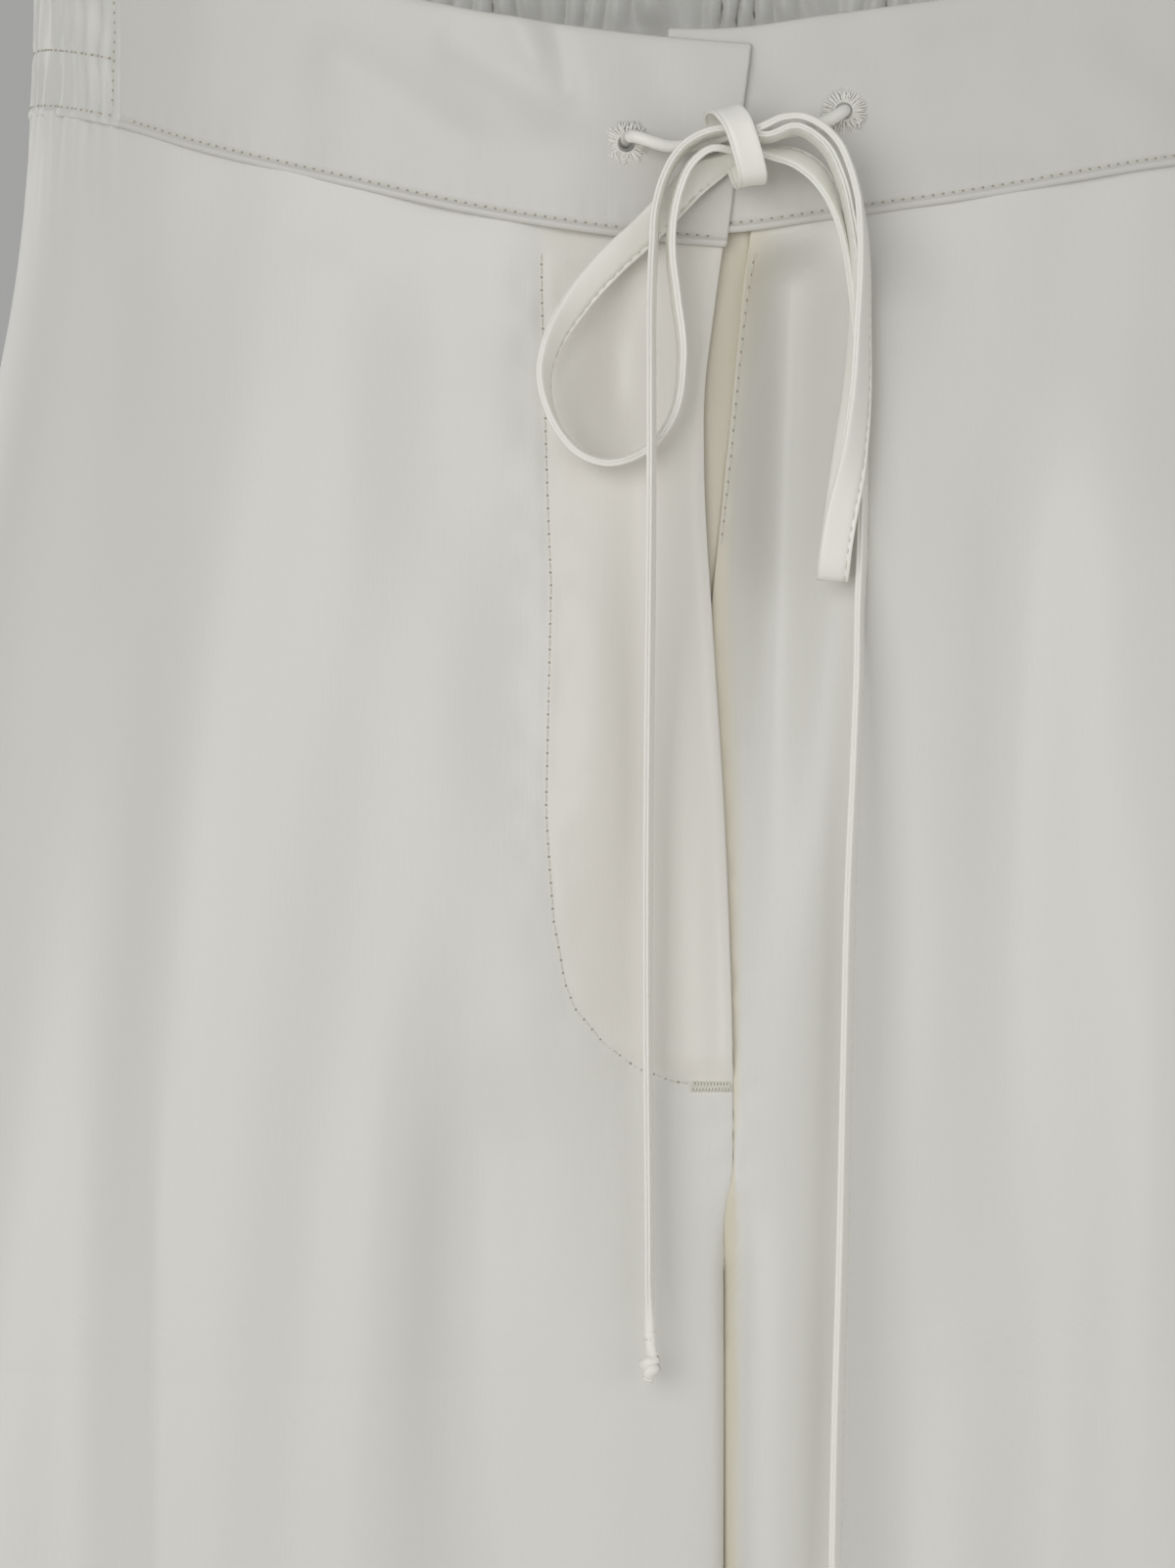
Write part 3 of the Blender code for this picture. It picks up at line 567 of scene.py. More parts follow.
# %% Points of the cloth
def leg_shift(side, x, y, height):
    """Moves the fronts' edges between the legs: the right one stands back, the left leans in."""
    depth = y + smooth_read(SECTIONS, "front", height)
    share = smooth_step(*SHIFT_GROWS, height)
    share = share * (1 - smooth_step(*SHIFT_FADES, height)) * (1 - smooth_step(*SHIFT_DEPTH, depth))
    if side < 0:
        crisp = RIGHT_SHIFT - RIGHT_EDGE_SLOPE * np.minimum(x, RIGHT_REACH[0])
        return crisp * share * (1 - smooth_step(*RIGHT_REACH, x))
    return -LEFT_SHIFT * share * (1 - smooth_step(*LEFT_REACH, x))


def cloth_points(side, facing, way_round, height, proud=0.0, folded=True):
    """Points of the outer face in mm. side is -1 for the wearer's right leg, 1 for the left."""
    way_round, height = np.broadcast_arrays(np.asarray(way_round, float), np.asarray(height, float))
    length = section_length(height, facing)
    at = np.clip(way_round, 0, length)
    before = np.clip(at - 1.0, 0, length - 2.0)
    place = outline_point(facing, at, height)
    turn = outline_point(facing, before + 2.0, height) - outline_point(facing, before, height)
    turn = turn / np.linalg.norm(turn, axis=-1, keepdims=True)
    out_x = facing * -turn[..., 1]
    out_y = facing * turn[..., 0]
    x = place[..., 0] + np.minimum(way_round, 0.0)
    move = np.zeros(x.shape) + proud
    if folded:
        rough = FRONT_FOLDS if facing < 0 else BACK_FOLDS
        fine = FINE_FRONT_FOLDS if facing < 0 else FINE_BACK_FOLDS
        look = np.clip(facing * out_y, 0, 1)
        depth = fold_depth(rough, side * x, height) + fold_depth(fine, side * x, height)
        move = move + look * depth
    if facing < 0:
        x = x + leg_shift(side, x, place[..., 1], height)
    return np.stack([side * (x + out_x * move), place[..., 1] + out_y * move, height], -1)


print("front of the waist:", cloth_points(1, -1, 0.0, 0.0, folded=False).round(1))


# %% [markdown]
# ## Cloth shells
# A piece of cloth has an outer face, an inner face and a rolled edge between them. Both
# faces are grids, and three rings round the edge make the roll. The UV map holds each
# point's place on the flat cloth in millimetres, which the weave follows.

# %% Shell helper
def grid_normals(points, middle):
    """Unit normals of a grid of points that look away from a point in the hollow."""
    down = np.gradient(points, axis=0)
    across = np.gradient(points, axis=1)
    normal = np.cross(down, across)
    normal /= np.linalg.norm(normal, axis=-1, keepdims=True) + 1e-12
    away = points - np.array(middle)
    away[..., 2] = 0
    return normal if (normal * away).sum() > 0 else -normal


def add_mesh(name, points, faces, material, uv):
    """A smooth mesh piece. Its points and its UV map are in millimetres."""
    mesh = bpy.data.meshes.new(name)
    mesh.from_pydata((np.asarray(points) * MM).tolist(), [], faces)
    layer = mesh.uv_layers.new(name="cloth")
    corner = np.zeros(len(mesh.loops), int)
    mesh.loops.foreach_get("vertex_index", corner)
    layer.data.foreach_set("uv", np.asarray(uv)[corner].astype(np.float32).ravel())
    mesh.materials.append(material)
    mesh.shade_smooth()
    piece = bpy.data.objects.new(name, mesh)
    scene.collection.objects.link(piece)
    tidy = bmesh.new()
    tidy.from_mesh(mesh)
    bmesh.ops.recalc_face_normals(tidy, faces=tidy.faces)
    tidy.to_mesh(mesh)
    tidy.free()
    return piece


def put_on(piece, slot, *nodes):
    """Lets a piece ride on the one body, and hides the CAD nodes that it replaces. slot is not used."""
    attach(piece, "root")
    if nodes:
        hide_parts(*nodes)
    return piece


def cloth_shell(name, points, wall, roll, material, uv, middle):
    """Outer grid, inner grid and a rolled edge. points has rows down and columns across."""
    rows, cols = points.shape[:2]
    normal = grid_normals(points, middle)
    index = np.arange(rows * cols).reshape(rows, cols)
    edge = np.concatenate([index[0, :-1], index[:-1, -1], index[-1, :0:-1], index[:0:-1, 0]])
    flat = points.reshape(-1, 3)
    out = normal.reshape(-1, 3)
    inward = np.zeros((rows, cols, 3))
    inward[0] += points[0] - points[1]
    inward[-1] += points[-1] - points[-2]
    inward[:, 0] += points[:, 0] - points[:, 1]
    inward[:, -1] += points[:, -1] - points[:, -2]
    beyond = inward.reshape(-1, 3)[edge]
    beyond -= (beyond * out[edge]).sum(-1, keepdims=True) * out[edge]
    beyond /= np.linalg.norm(beyond, axis=-1, keepdims=True) + 1e-12
    core = flat[edge] - out[edge] * wall / 2
    rings = []
    for k in (1, 2, 3):
        angle = math.pi * k / 4
        rise = out[edge] * wall / 2 * math.cos(angle)
        rings.append(core + rise + beyond * roll * math.sin(angle))
    everything = np.concatenate([flat, flat - out * wall, *rings])
    uv_flat = uv.reshape(-1, 2)
    uv_all = np.concatenate([uv_flat, uv_flat, uv_flat[edge], uv_flat[edge], uv_flat[edge]])
    quads = [index[:-1, :-1], index[1:, :-1], index[1:, 1:], index[:-1, 1:]]
    quads = np.stack(quads, -1).reshape(-1, 4)
    faces = quads.tolist()
    faces += (quads[:, ::-1] + rows * cols).tolist()
    ring_start = 2 * rows * cols
    count = len(edge)
    loops = [edge]
    loops += [ring_start + k * count + np.arange(count) for k in range(3)]
    loops.append(edge + rows * cols)
    for a, b in zip(loops[:-1], loops[1:]):
        faces += np.stack([a, np.roll(a, -1), np.roll(b, -1), b], -1).tolist()
    return add_mesh(name, everything, faces, material, uv_all)


def spread(first, last, step, ends=(0.4, 1.0, 2.0, 3.6)):
    """Places from first to last, closer together at both ends."""
    sign = 1 if last > first else -1
    ends = np.array(ends)
    start = first + sign * ends
    stop = last - sign * ends[::-1]
    count = max(int(abs(stop[0] - start[-1]) / step), 2)
    middle = np.linspace(start[-1], stop[0], count + 1)[1:-1]
    return np.concatenate([[first], start, middle, stop, [last]])


print("places across a 40 mm strip:", len(spread(0, 40, 2)))

# %% [markdown]
# ## Leg panels
# Four panels make the legs. Where two of them meet, the cloth turns in to the stitching,
# so each seam is a narrow valley with small puckers beside it. The waist edge goes a
# millimetre up inside the waistband, as the seam allowance does.

# %% Sewing lines of the fly
SCALE = 4.55
PICTURE_CENTRE = 748
PICTURE_TOP = 48


def from_picture(rows):
    """Points measured on the picture, as x and height in millimetres."""
    return np.array([((x - PICTURE_CENTRE) / SCALE, (PICTURE_TOP - y) / SCALE) for x, y in rows])


FLY_STITCH = from_picture(
    (
        (553, 254), (553, 300), (556, 390), (558, 470), (563, 600), (561, 700), (558, 826),
        (562, 890), (566, 942), (571, 967), (577, 1002), (587, 1028), (602, 1046),
        (617, 1065), (629, 1073), (650, 1089), (673, 1097), (685, 1102), (708, 1105),
    )
)


def distance_to(line, x, height):
    """The shortest distance from each point to a line of points."""
    best = np.full(np.shape(x), 1e9)
    for (x0, z0), (x1, z1) in zip(line[:-1], line[1:]):
        size = (x1 - x0) ** 2 + (z1 - z0) ** 2
        t = np.clip(((x - x0) * (x1 - x0) + (height - z0) * (z1 - z0)) / size, 0, 1)
        gap = np.hypot(x - x0 - t * (x1 - x0), height - z0 - t * (z1 - z0))
        best = np.minimum(best, gap)
    return best


FLY_LAP = 1.8
FLY_LIFT = 1.3


def fly_edge(height):
    """How far back from the centre line the free edge of the fly lies."""
    edge = smooth_read(FLY_EDGE, "back_from_centre", height)
    return np.where(height <= FLY_END, SEAM / 2, edge)


def under_edge(height):
    """The x of the left front's edge, beside the free edge of the fly."""
    slope = (UNDER_EDGE_LOW[1] - UNDER_EDGE_TOP[1]) / (UNDER_EDGE_LOW[0] - UNDER_EDGE_TOP[0])
    line = UNDER_EDGE_TOP[1] + slope * (height - UNDER_EDGE_TOP[0])
    tucked = FLY_LAP * smooth_step(FLY_END + 2, FLY_END + 12, height)
    line = np.maximum(line, SEAM - fly_edge(height) - tucked)
    return np.where(height <= FLY_END, SEAM / 2, line)


print("fly stitching starts", round(-FLY_STITCH[0][0], 1), "mm from the centre")

# %% Relief of the panels
SEAM_VALLEY = 0.25
SEAM_WIDTH = 0.9
PUCKER = 0.28
PUCKER_REACH = 5.5
WAVE_SIZE = 0.5
QUIET_X = (1, 14)
QUIET_FROM = -240
FLY_LIFT_FADES = (5, 17)
FLY_FOLD = (0.35, 1.1, 1.3)
FLY_GROOVE = (0.45, 1.3)
FLY_WRINKLE = (0.3, 4, 3)
RIPPLE = 0.5
RIPPLE_FADES = 14.0
RIPPLE_STARTS = (142, 160)
PANEL_WALL = 1.0
PANEL_ROLL = 0.19
BEHIND = 400.0


def seam_relief(distance, along, seed):
    """The valley beside a sewn edge, and the puckers, 13 and 8.3 mm apart by turns."""
    dice = np.random.RandomState(seed)
    pull = wave(along, 13.0, 1.3 * np.sin(along / 31.0 + dice.uniform(0, 6)))
    pull = pull + 0.6 * wave(along, 8.3, dice.uniform(0, 6))
    pucker = PUCKER * pull * bell(distance, PUCKER_REACH) * smooth_step(0, 3, distance)
    return -SEAM_VALLEY * bell(distance, SEAM_WIDTH) + pucker


def quiet_waves(facing, x, height):
    """The unevenness that the cloth on both sides of a centre seam shares."""
    return unevenness(x, height, 11 + 7 * facing, WAVE_SIZE)


def panel_relief(side, facing, way_round, from_side_seam, height, x):
    """What a panel's cloth does apart from its folds.

    That is the slow waves, the sewn edges, the fly's lap and curved line, and the ripples,
    5.6 and 13.7 mm long, that the elastic's gathers leave in the cloth just below them.
    """
    seed = 11 + 3 * side + 7 * facing
    between_legs = 1 - smooth_step(*QUIET_X, np.abs(x))
    waves = smooth_step(0, 25, from_side_seam)
    waves = waves * (1 - between_legs * smooth_step(QUIET_FROM, CROTCH, height))
    relief = quiet_waves(facing, x, height) * waves
    start = np.zeros_like(x)
    if facing < 0:
        start = np.where(height > FLY_END, fly_edge(height) if side < 0 else under_edge(height), 0)
    sewn = seam_relief(way_round - start, height, seed + 1)
    if facing < 0 and side < 0:
        # The fly's free edge is a fold that lies over the left front, sewn only below its end
        free = smooth_step(FLY_END, FLY_END + 7, height)
        lift = FLY_LIFT * (1 - smooth_step(*FLY_LIFT_FADES, way_round - start))
        size, middle, width = FLY_FOLD
        roll = size * bell(way_round - start - middle, width)
        sewn = sewn * (1 - free) + (roll + lift) * free
        gap = distance_to(FLY_STITCH, x, height)
        near = smooth_step(-44, -52, height)
        relief = relief - FLY_GROOVE[0] * bell(gap, FLY_GROOVE[1]) * near
        size, middle, width = FLY_WRINKLE
        wrinkle = bell(gap - middle, width) * np.sin(height / 2.6 + np.sin(height / 9))
        relief = relief + size * wrinkle * near
    relief = relief + sewn + seam_relief(from_side_seam, height, seed + 2)
    waist = band_line(side, way_round if facing < 0 else BEHIND) - height
    gathered = smooth_step(*RIPPLE_STARTS, way_round) if facing < 0 else 1.0
    ripple = wave(way_round, 5.6, np.sin(way_round / 17.0)) + 0.7 * wave(way_round, 13.7, 1.0)
    return relief + RIPPLE * gathered * ripple * np.exp(-np.clip(waist, 0, 200) / RIPPLE_FADES)


print("seam valley:", SEAM_VALLEY, "mm")

# %% Building the panels
INNER_COLUMNS = 18
NEAR_COLUMNS = 44
FAR_COLUMNS = {-1: 98, 1: 66}
HALF = float(section_length(-5.0, -1)) + float(section_length(-5.0, 1))
FINE_END = -330.0
UPPER_STEP = 2.25
LOWER_STEP = 7.0
TURNED_EDGE_AND_SHADE = {
    # How far the left front's painted shade reaches at each height, by the fly and between the legs
    "height": (-266, -249, -233, -120, -50),
    "reach": (1.5, 0.5, 2.0, 7.5, 17.0),
}


def zone_place(number, height, facing):
    """The way round to a fixed x: where the crotch curve ends (0) and where the leg opens (1)."""
    back = np.interp(-height, -HEIGHTS, PLACES[facing][:, number])
    return section_length(height, facing) - back


def panel_grid(side, facing):
    """Ways round and heights for every point of a panel's grid."""
    centre = 0.0 if facing < 0 else HALF
    top = float(band_line(side, centre)) + 1.0
    upper = spread(top, FINE_END, UPPER_STEP, ends=(0.5, 1.0, 1.8, 3.0))
    lower = spread(FINE_END, HEM, LOWER_STEP, ends=(0.7, 1.6, 3.0))[3:]
    curve = near_crotch(12)
    upper = upper[(upper < curve[0] - 0.8) | (upper > curve[-1] + 0.6)]
    levels = np.unique(np.concatenate([upper[:-2], curve, lower]))[::-1]
    level = levels[:, None]
    inner = np.linspace(0, 1, INNER_COLUMNS + 1)
    near = np.linspace(0, 1, NEAR_COLUMNS + 1)[1:] ** 1.25
    first_part = INNER_COLUMNS + NEAR_COLUMNS
    height = level + np.zeros((1, first_part + FAR_COLUMNS[facing] + 1))
    start = np.where(level > CROTCH, 0.0, SEAM / 2)
    if facing < 0:
        edge = fly_edge(level) if side < 0 else under_edge(level)
        start = np.where(level > FLY_END, edge - SEAM / 2, start)
    share = smooth_step(BAND_LINE_LEVEL, top, level)
    for _ in range(4):
        curve_end = zone_place(0, height[:, INNER_COLUMNS], facing)[:, None]
        corner = zone_place(1, height[:, first_part], facing)[:, None]
        end = section_length(height[:, -1], facing)[:, None] - SEAM / 2
        far = np.linspace(0, 1, FAR_COLUMNS[facing] + 1)[1:]
        last = 1 - np.array((3.0, 1.6, 0.7)) / (end.max() - corner.min())
        far = np.sort(np.concatenate([far[:-4], last, [1.0]]))
        parts = [start + (curve_end - start) * inner, curve_end + (corner - curve_end) * near]
        way = np.concatenate([*parts, corner + (end - corner) * far], 1)
        lift = band_line(side, np.abs(centre - way)) - band_line(side, centre)
        height = level + lift * share
    return way, height


def mark_second_layer_and_shade(piece, side):
    """Stores 1 where the cloth takes its last colour, else 0.

    On the right front that is inside the fly's curved line, where more cloth lies behind. On
    the left front it is painted shade beside the fly's free edge and in the narrow gap
    between the legs below the fly.
    """
    place = np.zeros(len(piece.data.vertices) * 3)
    piece.data.vertices.foreach_get("co", place)
    x, _, height = place.reshape(-1, 3).T / MM
    if side < 0:
        order = np.argsort(FLY_STITCH[:, 1])
        line = np.interp(height, FLY_STITCH[order, 1], FLY_STITCH[order, 0])
        inside = smooth_step(-0.5, 0.7, x - line)
        inside = inside * smooth_step(FLY_END - 0.6, FLY_END + 0.6, height)
    else:
        edge = x + np.where(height > FLY_END, fly_edge(height), 0.0)
        inside = 1 - smooth_step(0.15, 1.0, edge / np.interp(height, *TURNED_EDGE_AND_SHADE.values()))
    layer = piece.data.attributes.new("layers", "FLOAT", "POINT")
    layer.data.foreach_set("value", inside.astype(np.float32))


def make_panel(node, side, facing):
    way, height = panel_grid(side, facing)
    x = side * outline_point(facing, way, height)[..., 0]
    from_side = section_length(height, facing) - SEAM / 2 - way
    relief = panel_relief(side, facing, way, from_side, height, x)
    points = cloth_points(side, facing, way, height, proud=relief)
    uv = np.stack([way, height], -1)
    satin = leg_satin
    if facing < 0:
        satin = right_satin if side < 0 else left_satin_with_painted_shade
    hollow = (side * 110.0, 0, 0)
    piece = cloth_shell(node + "_cloth", points, PANEL_WALL, PANEL_ROLL, satin, uv, hollow)
    if facing < 0:
        mark_second_layer_and_shade(piece, side)
    print(node, len(piece.data.polygons), "faces")
    return put_on(piece, "satin", node)


PANELS = {
    node: make_panel(node, leg, way)
    for node, leg, way in (
        ("front_right", -1, -1),
        ("front_left", 1, -1),
        ("back_right", -1, 1),
        ("back_left", 1, 1),
    )
}

# %% [markdown]
# The underlap is a strip behind the fly. It is sewn to the left front's edge and lies just
# behind the cloth over it.

# %% Fly underlap
UNDERLAP_TOP = -38.0
UNDERLAP_LOW = -205.0
UNDERLAP_ROUND = 45.0
UNDERLAP_RIGHT = -34.0
UNDERLAP_TAPER = 18.0
UNDERLAP_HELD = 8.0
UNDERLAP_BEHIND = 1.1
heights = np.linspace(UNDERLAP_TOP, UNDERLAP_LOW, 80)[:, None]
low_end = smooth_step(UNDERLAP_LOW + UNDERLAP_ROUND, UNDERLAP_LOW, heights)
left = under_edge(heights) + UNDERLAP_HELD
right = UNDERLAP_RIGHT + UNDERLAP_TAPER * low_end
across = right + (left - right) * np.linspace(0, 1, 44)[None, :]
heights = heights + np.zeros_like(across)
set_back = quiet_waves(-1, across, heights) - UNDERLAP_BEHIND
set_back = set_back - 0.5 * smooth_step(0, -20, across)
set_back = set_back - 0.5 * smooth_step(-46, -41, heights)
over = cloth_points(1, -1, np.clip(across, 0, None), heights, proud=set_back)
under = cloth_points(-1, -1, np.clip(-across, 0, None), heights, proud=set_back)
strip = np.where((across < 0)[..., None], under, over)
uv = np.stack([across, heights], -1)
underlap = cloth_shell("fly_underlap_cloth", strip, PANEL_WALL, 0.4, fly_satin, uv, (0, 0, 0))
put_on(underlap, "satin", "fly_underlap")
print("underlap faces:", len(underlap.data.polygons))

# %% [markdown]
# ## Waistband
# The front halves are stiffened with interlining, so they stay flat. Their lower edge is a
# fold that is stitched down 2 mm above, which makes a small roll. The right half laps over
# the left one. Soft drags run towards the eyelets, where the drawstring pulls.

# %% Front waistband
ELASTIC_JOINT = 148.0
OVER_END = (4.0, -1.8)
UNDER_END_X = -14.0
BAND_PROUD = 0.8
LAP_PROUD = 2.2
LAP_FROM_X = -34.0
LAP_TO_X = -75.0
BAND_WALL = 1.2
BAND_STITCH_UP = 2.0
BAND_DRAGS = {
    # x0, height0, x1, height1, half width, depth
    -1: (
        (-88.0, -2.0, -64.0, -18.0, 7.0, 1.1),
        (-62.0, 2.0, -40.0, -12.0, 5.0, -0.9),
        (-48.0, 8.0, -44.0, -2.0, 3.5, 0.9),
        (-40.0, 5.0, -37.0, -9.0, 2.6, -0.9),
        (-58.0, -22.0, -31.0, -24.0, 6.0, 0.7),
        (-18.0, -8.0, -8.0, -26.0, 6.0, -0.5),
        (-110.0, -8.0, -96.0, -20.0, 8.0, -0.6),
    ),
    1: (
        (30.0, -8.0, 52.0, 2.0, 5.0, 0.7),
        (33.0, -20.0, 66.0, -22.0, 7.0, -0.7),
        (80.0, -4.0, 104.0, -18.0, 8.0, 0.6),
        (6.0, -6.0, 16.0, -24.0, 6.0, -0.6),
    ),
}


def lap_proud(x):
    """The right band rises to lie over the left one near the centre."""
    return BAND_PROUD + (LAP_PROUD - BAND_PROUD) * smooth_step(LAP_TO_X, LAP_FROM_X, x)


def band_relief(side, x, height, above_seam):
    """The rolled lower edge, the stitched groove above it, the top fold and the drags."""
    relief = 0.62 * bell(above_seam - 0.85, 0.7)
    relief = relief - 0.5 * bell(above_seam - BAND_STITCH_UP, 0.5)
    relief = relief - 0.35 * np.exp(-((BAND_HEIGHT - above_seam) / 0.8))
    relief = relief + unevenness(x * 1.6, height * 3, 41 + side, 0.16)
    pucker = wave(x, 4.4, np.sin(x / 7.0)) * bell(above_seam - 4.5, 2.5)
    relief = relief + 0.07 * pucker
    for x0, z0, x1, z1, width, depth in BAND_DRAGS[side]:
        gap = distance_to(np.array([(x0, z0), (x1, z1)]), x, height)
        relief = relief + depth * bell(gap, width)
    return relief


def front_band_place(side, way_round, above_seam):
    """Points of a front half of the band."""
    height = band_line(side, way_round) + above_seam
    x = side * np.where(way_round < 0, way_round, outline_point(-1, way_round, height)[..., 0])
    flat = lap_proud(x) if side < 0 else BAND_PROUD
    proud = flat + band_relief(side, x, height, above_seam)
    return cloth_points(side, -1, way_round, height, proud=proud, folded=False)


def make_front_band(node, side):
    ends = (0.3, 0.7, 1.05, 1.4, 1.7, 2.0, 2.3, 2.8, 3.6)
    above = spread(0.0, BAND_HEIGHT, 1.6, ends=ends)[:, None]
    share = spread(0.0, 1.0, 0.0085, ends=(0.002, 0.005, 0.01))[None, :]
    start = UNDER_END_X
    if side < 0:
        start = -(OVER_END[1] + (OVER_END[0] - OVER_END[1]) * above / BAND_HEIGHT)
    way = start + (ELASTIC_JOINT - SEAM / 2 - start) * share
    way, above = np.broadcast_arrays(way, above)
    points = front_band_place(side, way, above)
    uv = np.stack([way, above], -1)
    band = cloth_shell(node + "_cloth", points, BAND_WALL, 0.55, band_satin, uv, (0, 0, 0))
    print(node, len(band.data.polygons), "faces")
    return put_on(band, "waistband_satin", node)


bands = {
    -1: make_front_band("waistband_front_right", -1),
    1: make_front_band("waistband_front_left", 1),
}

# %% [markdown]
# Round the back the band is gathered on three rows of elastic. Each gather is a small ridge
# that is full in the middle of a channel and low where a row of stitches holds it. No two
# gathers are quite alike, and some run on from one channel into the next.

# %% Elastic waistband
GATHERS = 88
GATHER_HEIGHT = 1.9
PER_GATHER = 7
CHANNELS = 3
band_quarter = float(section_length(0.0, -1))
band_half = band_quarter + float(section_length(0.0, 1))
band_first = ELASTIC_JOINT + SEAM / 2


def back_band_place(across, above_seam, relief=True):
    """Points of the elastic band. across goes from the right joint, 0, to the left, 1."""
    side = np.where(across < 0.5, -1, 1)
    way = band_first + (band_half - band_first) * (1 - np.abs(2 * across - 1))
    line = np.where(side < 0, band_line(-1, way), band_line(1, way))
    height = line + above_seam
    down = 1 - above_seam / BAND_HEIGHT
    full = 0.35 + 0.65 * np.abs(np.sin(CHANNELS * math.pi * down))
    ease = np.clip((way - band_first) / 4.0, 0, 1)
    gather = across * GATHERS + 0.33 * np.sin(across * 61.0)
    gather = gather + 0.3 * np.sin(down * 5.0 + across * 97.0)
    uneven = np.sin(across * 143.0 + down * 4.0) * np.sin(across * 37.0 - down * 3.0)
    size = GATHER_HEIGHT * (0.85 + 0.5 * uneven)
    dip = size * full * ease * (0.5 - 0.5 * np.cos(2 * math.pi * gather))
    proud = BAND_PROUD - dip if relief else np.full(across.shape, BAND_PROUD)
    for number in range(1, CHANNELS):
        line_up = BAND_HEIGHT * number / CHANNELS
        proud = proud - 0.35 * bell(above_seam - line_up, 0.9)
    proud = proud + 0.35 * bell(above_seam - 0.8, 0.8)
    in_front = way <= band_quarter
    front_way = np.minimum(way, band_quarter)
    from_back = section_length(height, 1) * (band_half - way) / (band_half - band_quarter)
    from_back = np.clip(from_back, 0, None)
    points = np.zeros(across.shape + (3,))
    for half in (-1, 1):
        front = cloth_points(half, -1, front_way, height, proud=proud, folded=False)
        back = cloth_points(half, 1, from_back, height, proud=proud, folded=False)
        chosen = np.where(in_front[..., None], front, back)
        points = np.where((side == half)[..., None], chosen, points)
    return points, way


above = spread(0.0, BAND_HEIGHT, 1.9, ends=(0.4, 0.9, 1.6))[:, None]
across = np.linspace(0, 1, GATHERS * PER_GATHER + 1)[None, :]
above, across = np.broadcast_arrays(above, across)
points, way = back_band_place(across, above)
uv = np.stack([np.where(across < 0.5, -1, 1) * way, above], -1)
name = "waistband_back_cloth"
back_band = cloth_shell(name, points, BAND_WALL, 0.5, elastic_satin, uv, (0, 0, 0))
put_on(back_band, "waistband_satin", "waistband_back")
print("elastic band faces:", len(back_band.data.polygons))

# %% [markdown]
# ## Stitches
# A lockstitch shows as short threads that dive into the cloth at both ends. Each one is a
# small six-sided tube, fattest in the middle, and a whole row is a single mesh.

# %% Stitch helper
STITCH_SIDES = 6
STITCH_RINGS = (
    # share of the length, lift and thickness in radii
    (0.0, -0.9, 0.5), (0.16, 0.1, 0.9), (0.5, 0.5, 1.0), (0.84, 0.1, 0.9), (1.0, -0.9, 0.5),
)
HOLE_SHORT = 0.02
HOLE_SUNK = 0.08


def along_line(points):
    return np.concatenate([[0], np.cumsum(np.linalg.norm(np.diff(points, axis=0), axis=1))])


def stitch_mesh(name, starts, ends, outs, radius, material):
    """Many stitches as one mesh, from their two ends and the way out of the cloth."""
    points = []
    faces = []
    uv = []
    for start, end, out in zip(starts, ends, outs):
        line = end - start
        length = np.linalg.norm(line)
        line = line / length
        out = out - line * (out @ line)
        out = out / np.linalg.norm(out)
        cross = np.cross(line, out)
        base = len(points)
        for share, lift, fat in STITCH_RINGS:
            centre = start + line * length * share + out * lift * radius
            for k in range(STITCH_SIDES):
                angle = 2 * math.pi * k / STITCH_SIDES
                arm = math.cos(angle) * out + math.sin(angle) * cross
                points.append(centre + arm * radius * fat)
                uv.append((k * radius, share * length))
        last = len(points) - STITCH_SIDES
        for ring in range(base, last, STITCH_SIDES):
            for k in range(STITCH_SIDES):
                a = ring + k
                b = ring + (k + 1) % STITCH_SIDES
                faces.append((a, b, b + STITCH_SIDES, a + STITCH_SIDES))
        faces.append(tuple(base + k for k in reversed(range(STITCH_SIDES))))
        faces.append(tuple(last + k for k in range(STITCH_SIDES)))
    return add_mesh(name, np.array(points), faces, material, np.array(uv))


def stitch_row(name, points, outs, pitch, length, slot, radius=0.2, hole=0.24):
    """An even row of stitches on a line of surface points, with painted shade in the holes between."""
    along = along_line(points)
    count = int(along[-1] / pitch)
    first = np.arange(count) * pitch + (along[-1] - count * pitch) / 2 + (pitch - length) / 2

    def read(s, table):
        return np.stack([np.interp(s, along, table[:, k]) for k in range(3)], 1)

    way_out = read(first + length / 2, outs)
    starts = read(first, points)
    ends = read(first + length, points)
    put_on(stitch_mesh(name, starts, ends, way_out, radius, sewing_thread), slot)
    # Dark pieces between the stitches are painted shade in the needle holes.
    after = first[:-1] + length
    sunk = way_out[:-1] * HOLE_SUNK
    starts = read(after + HOLE_SHORT, points) - sunk
    ends = read(after + pitch - length - HOLE_SHORT, points) - sunk
    holes = stitch_mesh(name + "_holes", starts, ends, way_out[:-1], hole, needle_hole)
    put_on(holes, slot)


def outs_of(near, far):
    """Unit ways out of the cloth, from the same points at two depths."""
    out = far - near
    return out / np.linalg.norm(out, axis=-1, keepdims=True)


print("faces in a stitch:", (len(STITCH_RINGS) - 1) * STITCH_SIDES + 2)

# %% [markdown]
# The waistband is topstitched 2 mm above its lower edge, with a stitch every 2.3 mm. The
# stitches pull the cloth in so far that mostly their needle holes show, as small dark dots.
# The dots are painted shade: short dark pieces sunk between the stitches.

# %% Waistband stitches
BAND_STITCH = (2.3, 1.45)
BAND_ROW_END = 146.0


def band_row(name, side, first):
    way = np.linspace(first, BAND_ROW_END, 400)
    points = front_band_place(side, way, np.full(400, BAND_STITCH_UP))
    height = band_line(side, way) + BAND_STITCH_UP
    near = cloth_points(side, -1, way, height, proud=-4.0, folded=False)
    far = cloth_points(side, -1, way, height, proud=-3.0, folded=False)
    stitch_row(name, points, outs_of(near, far), *BAND_STITCH, "waistband_satin", 0.19, 0.3)


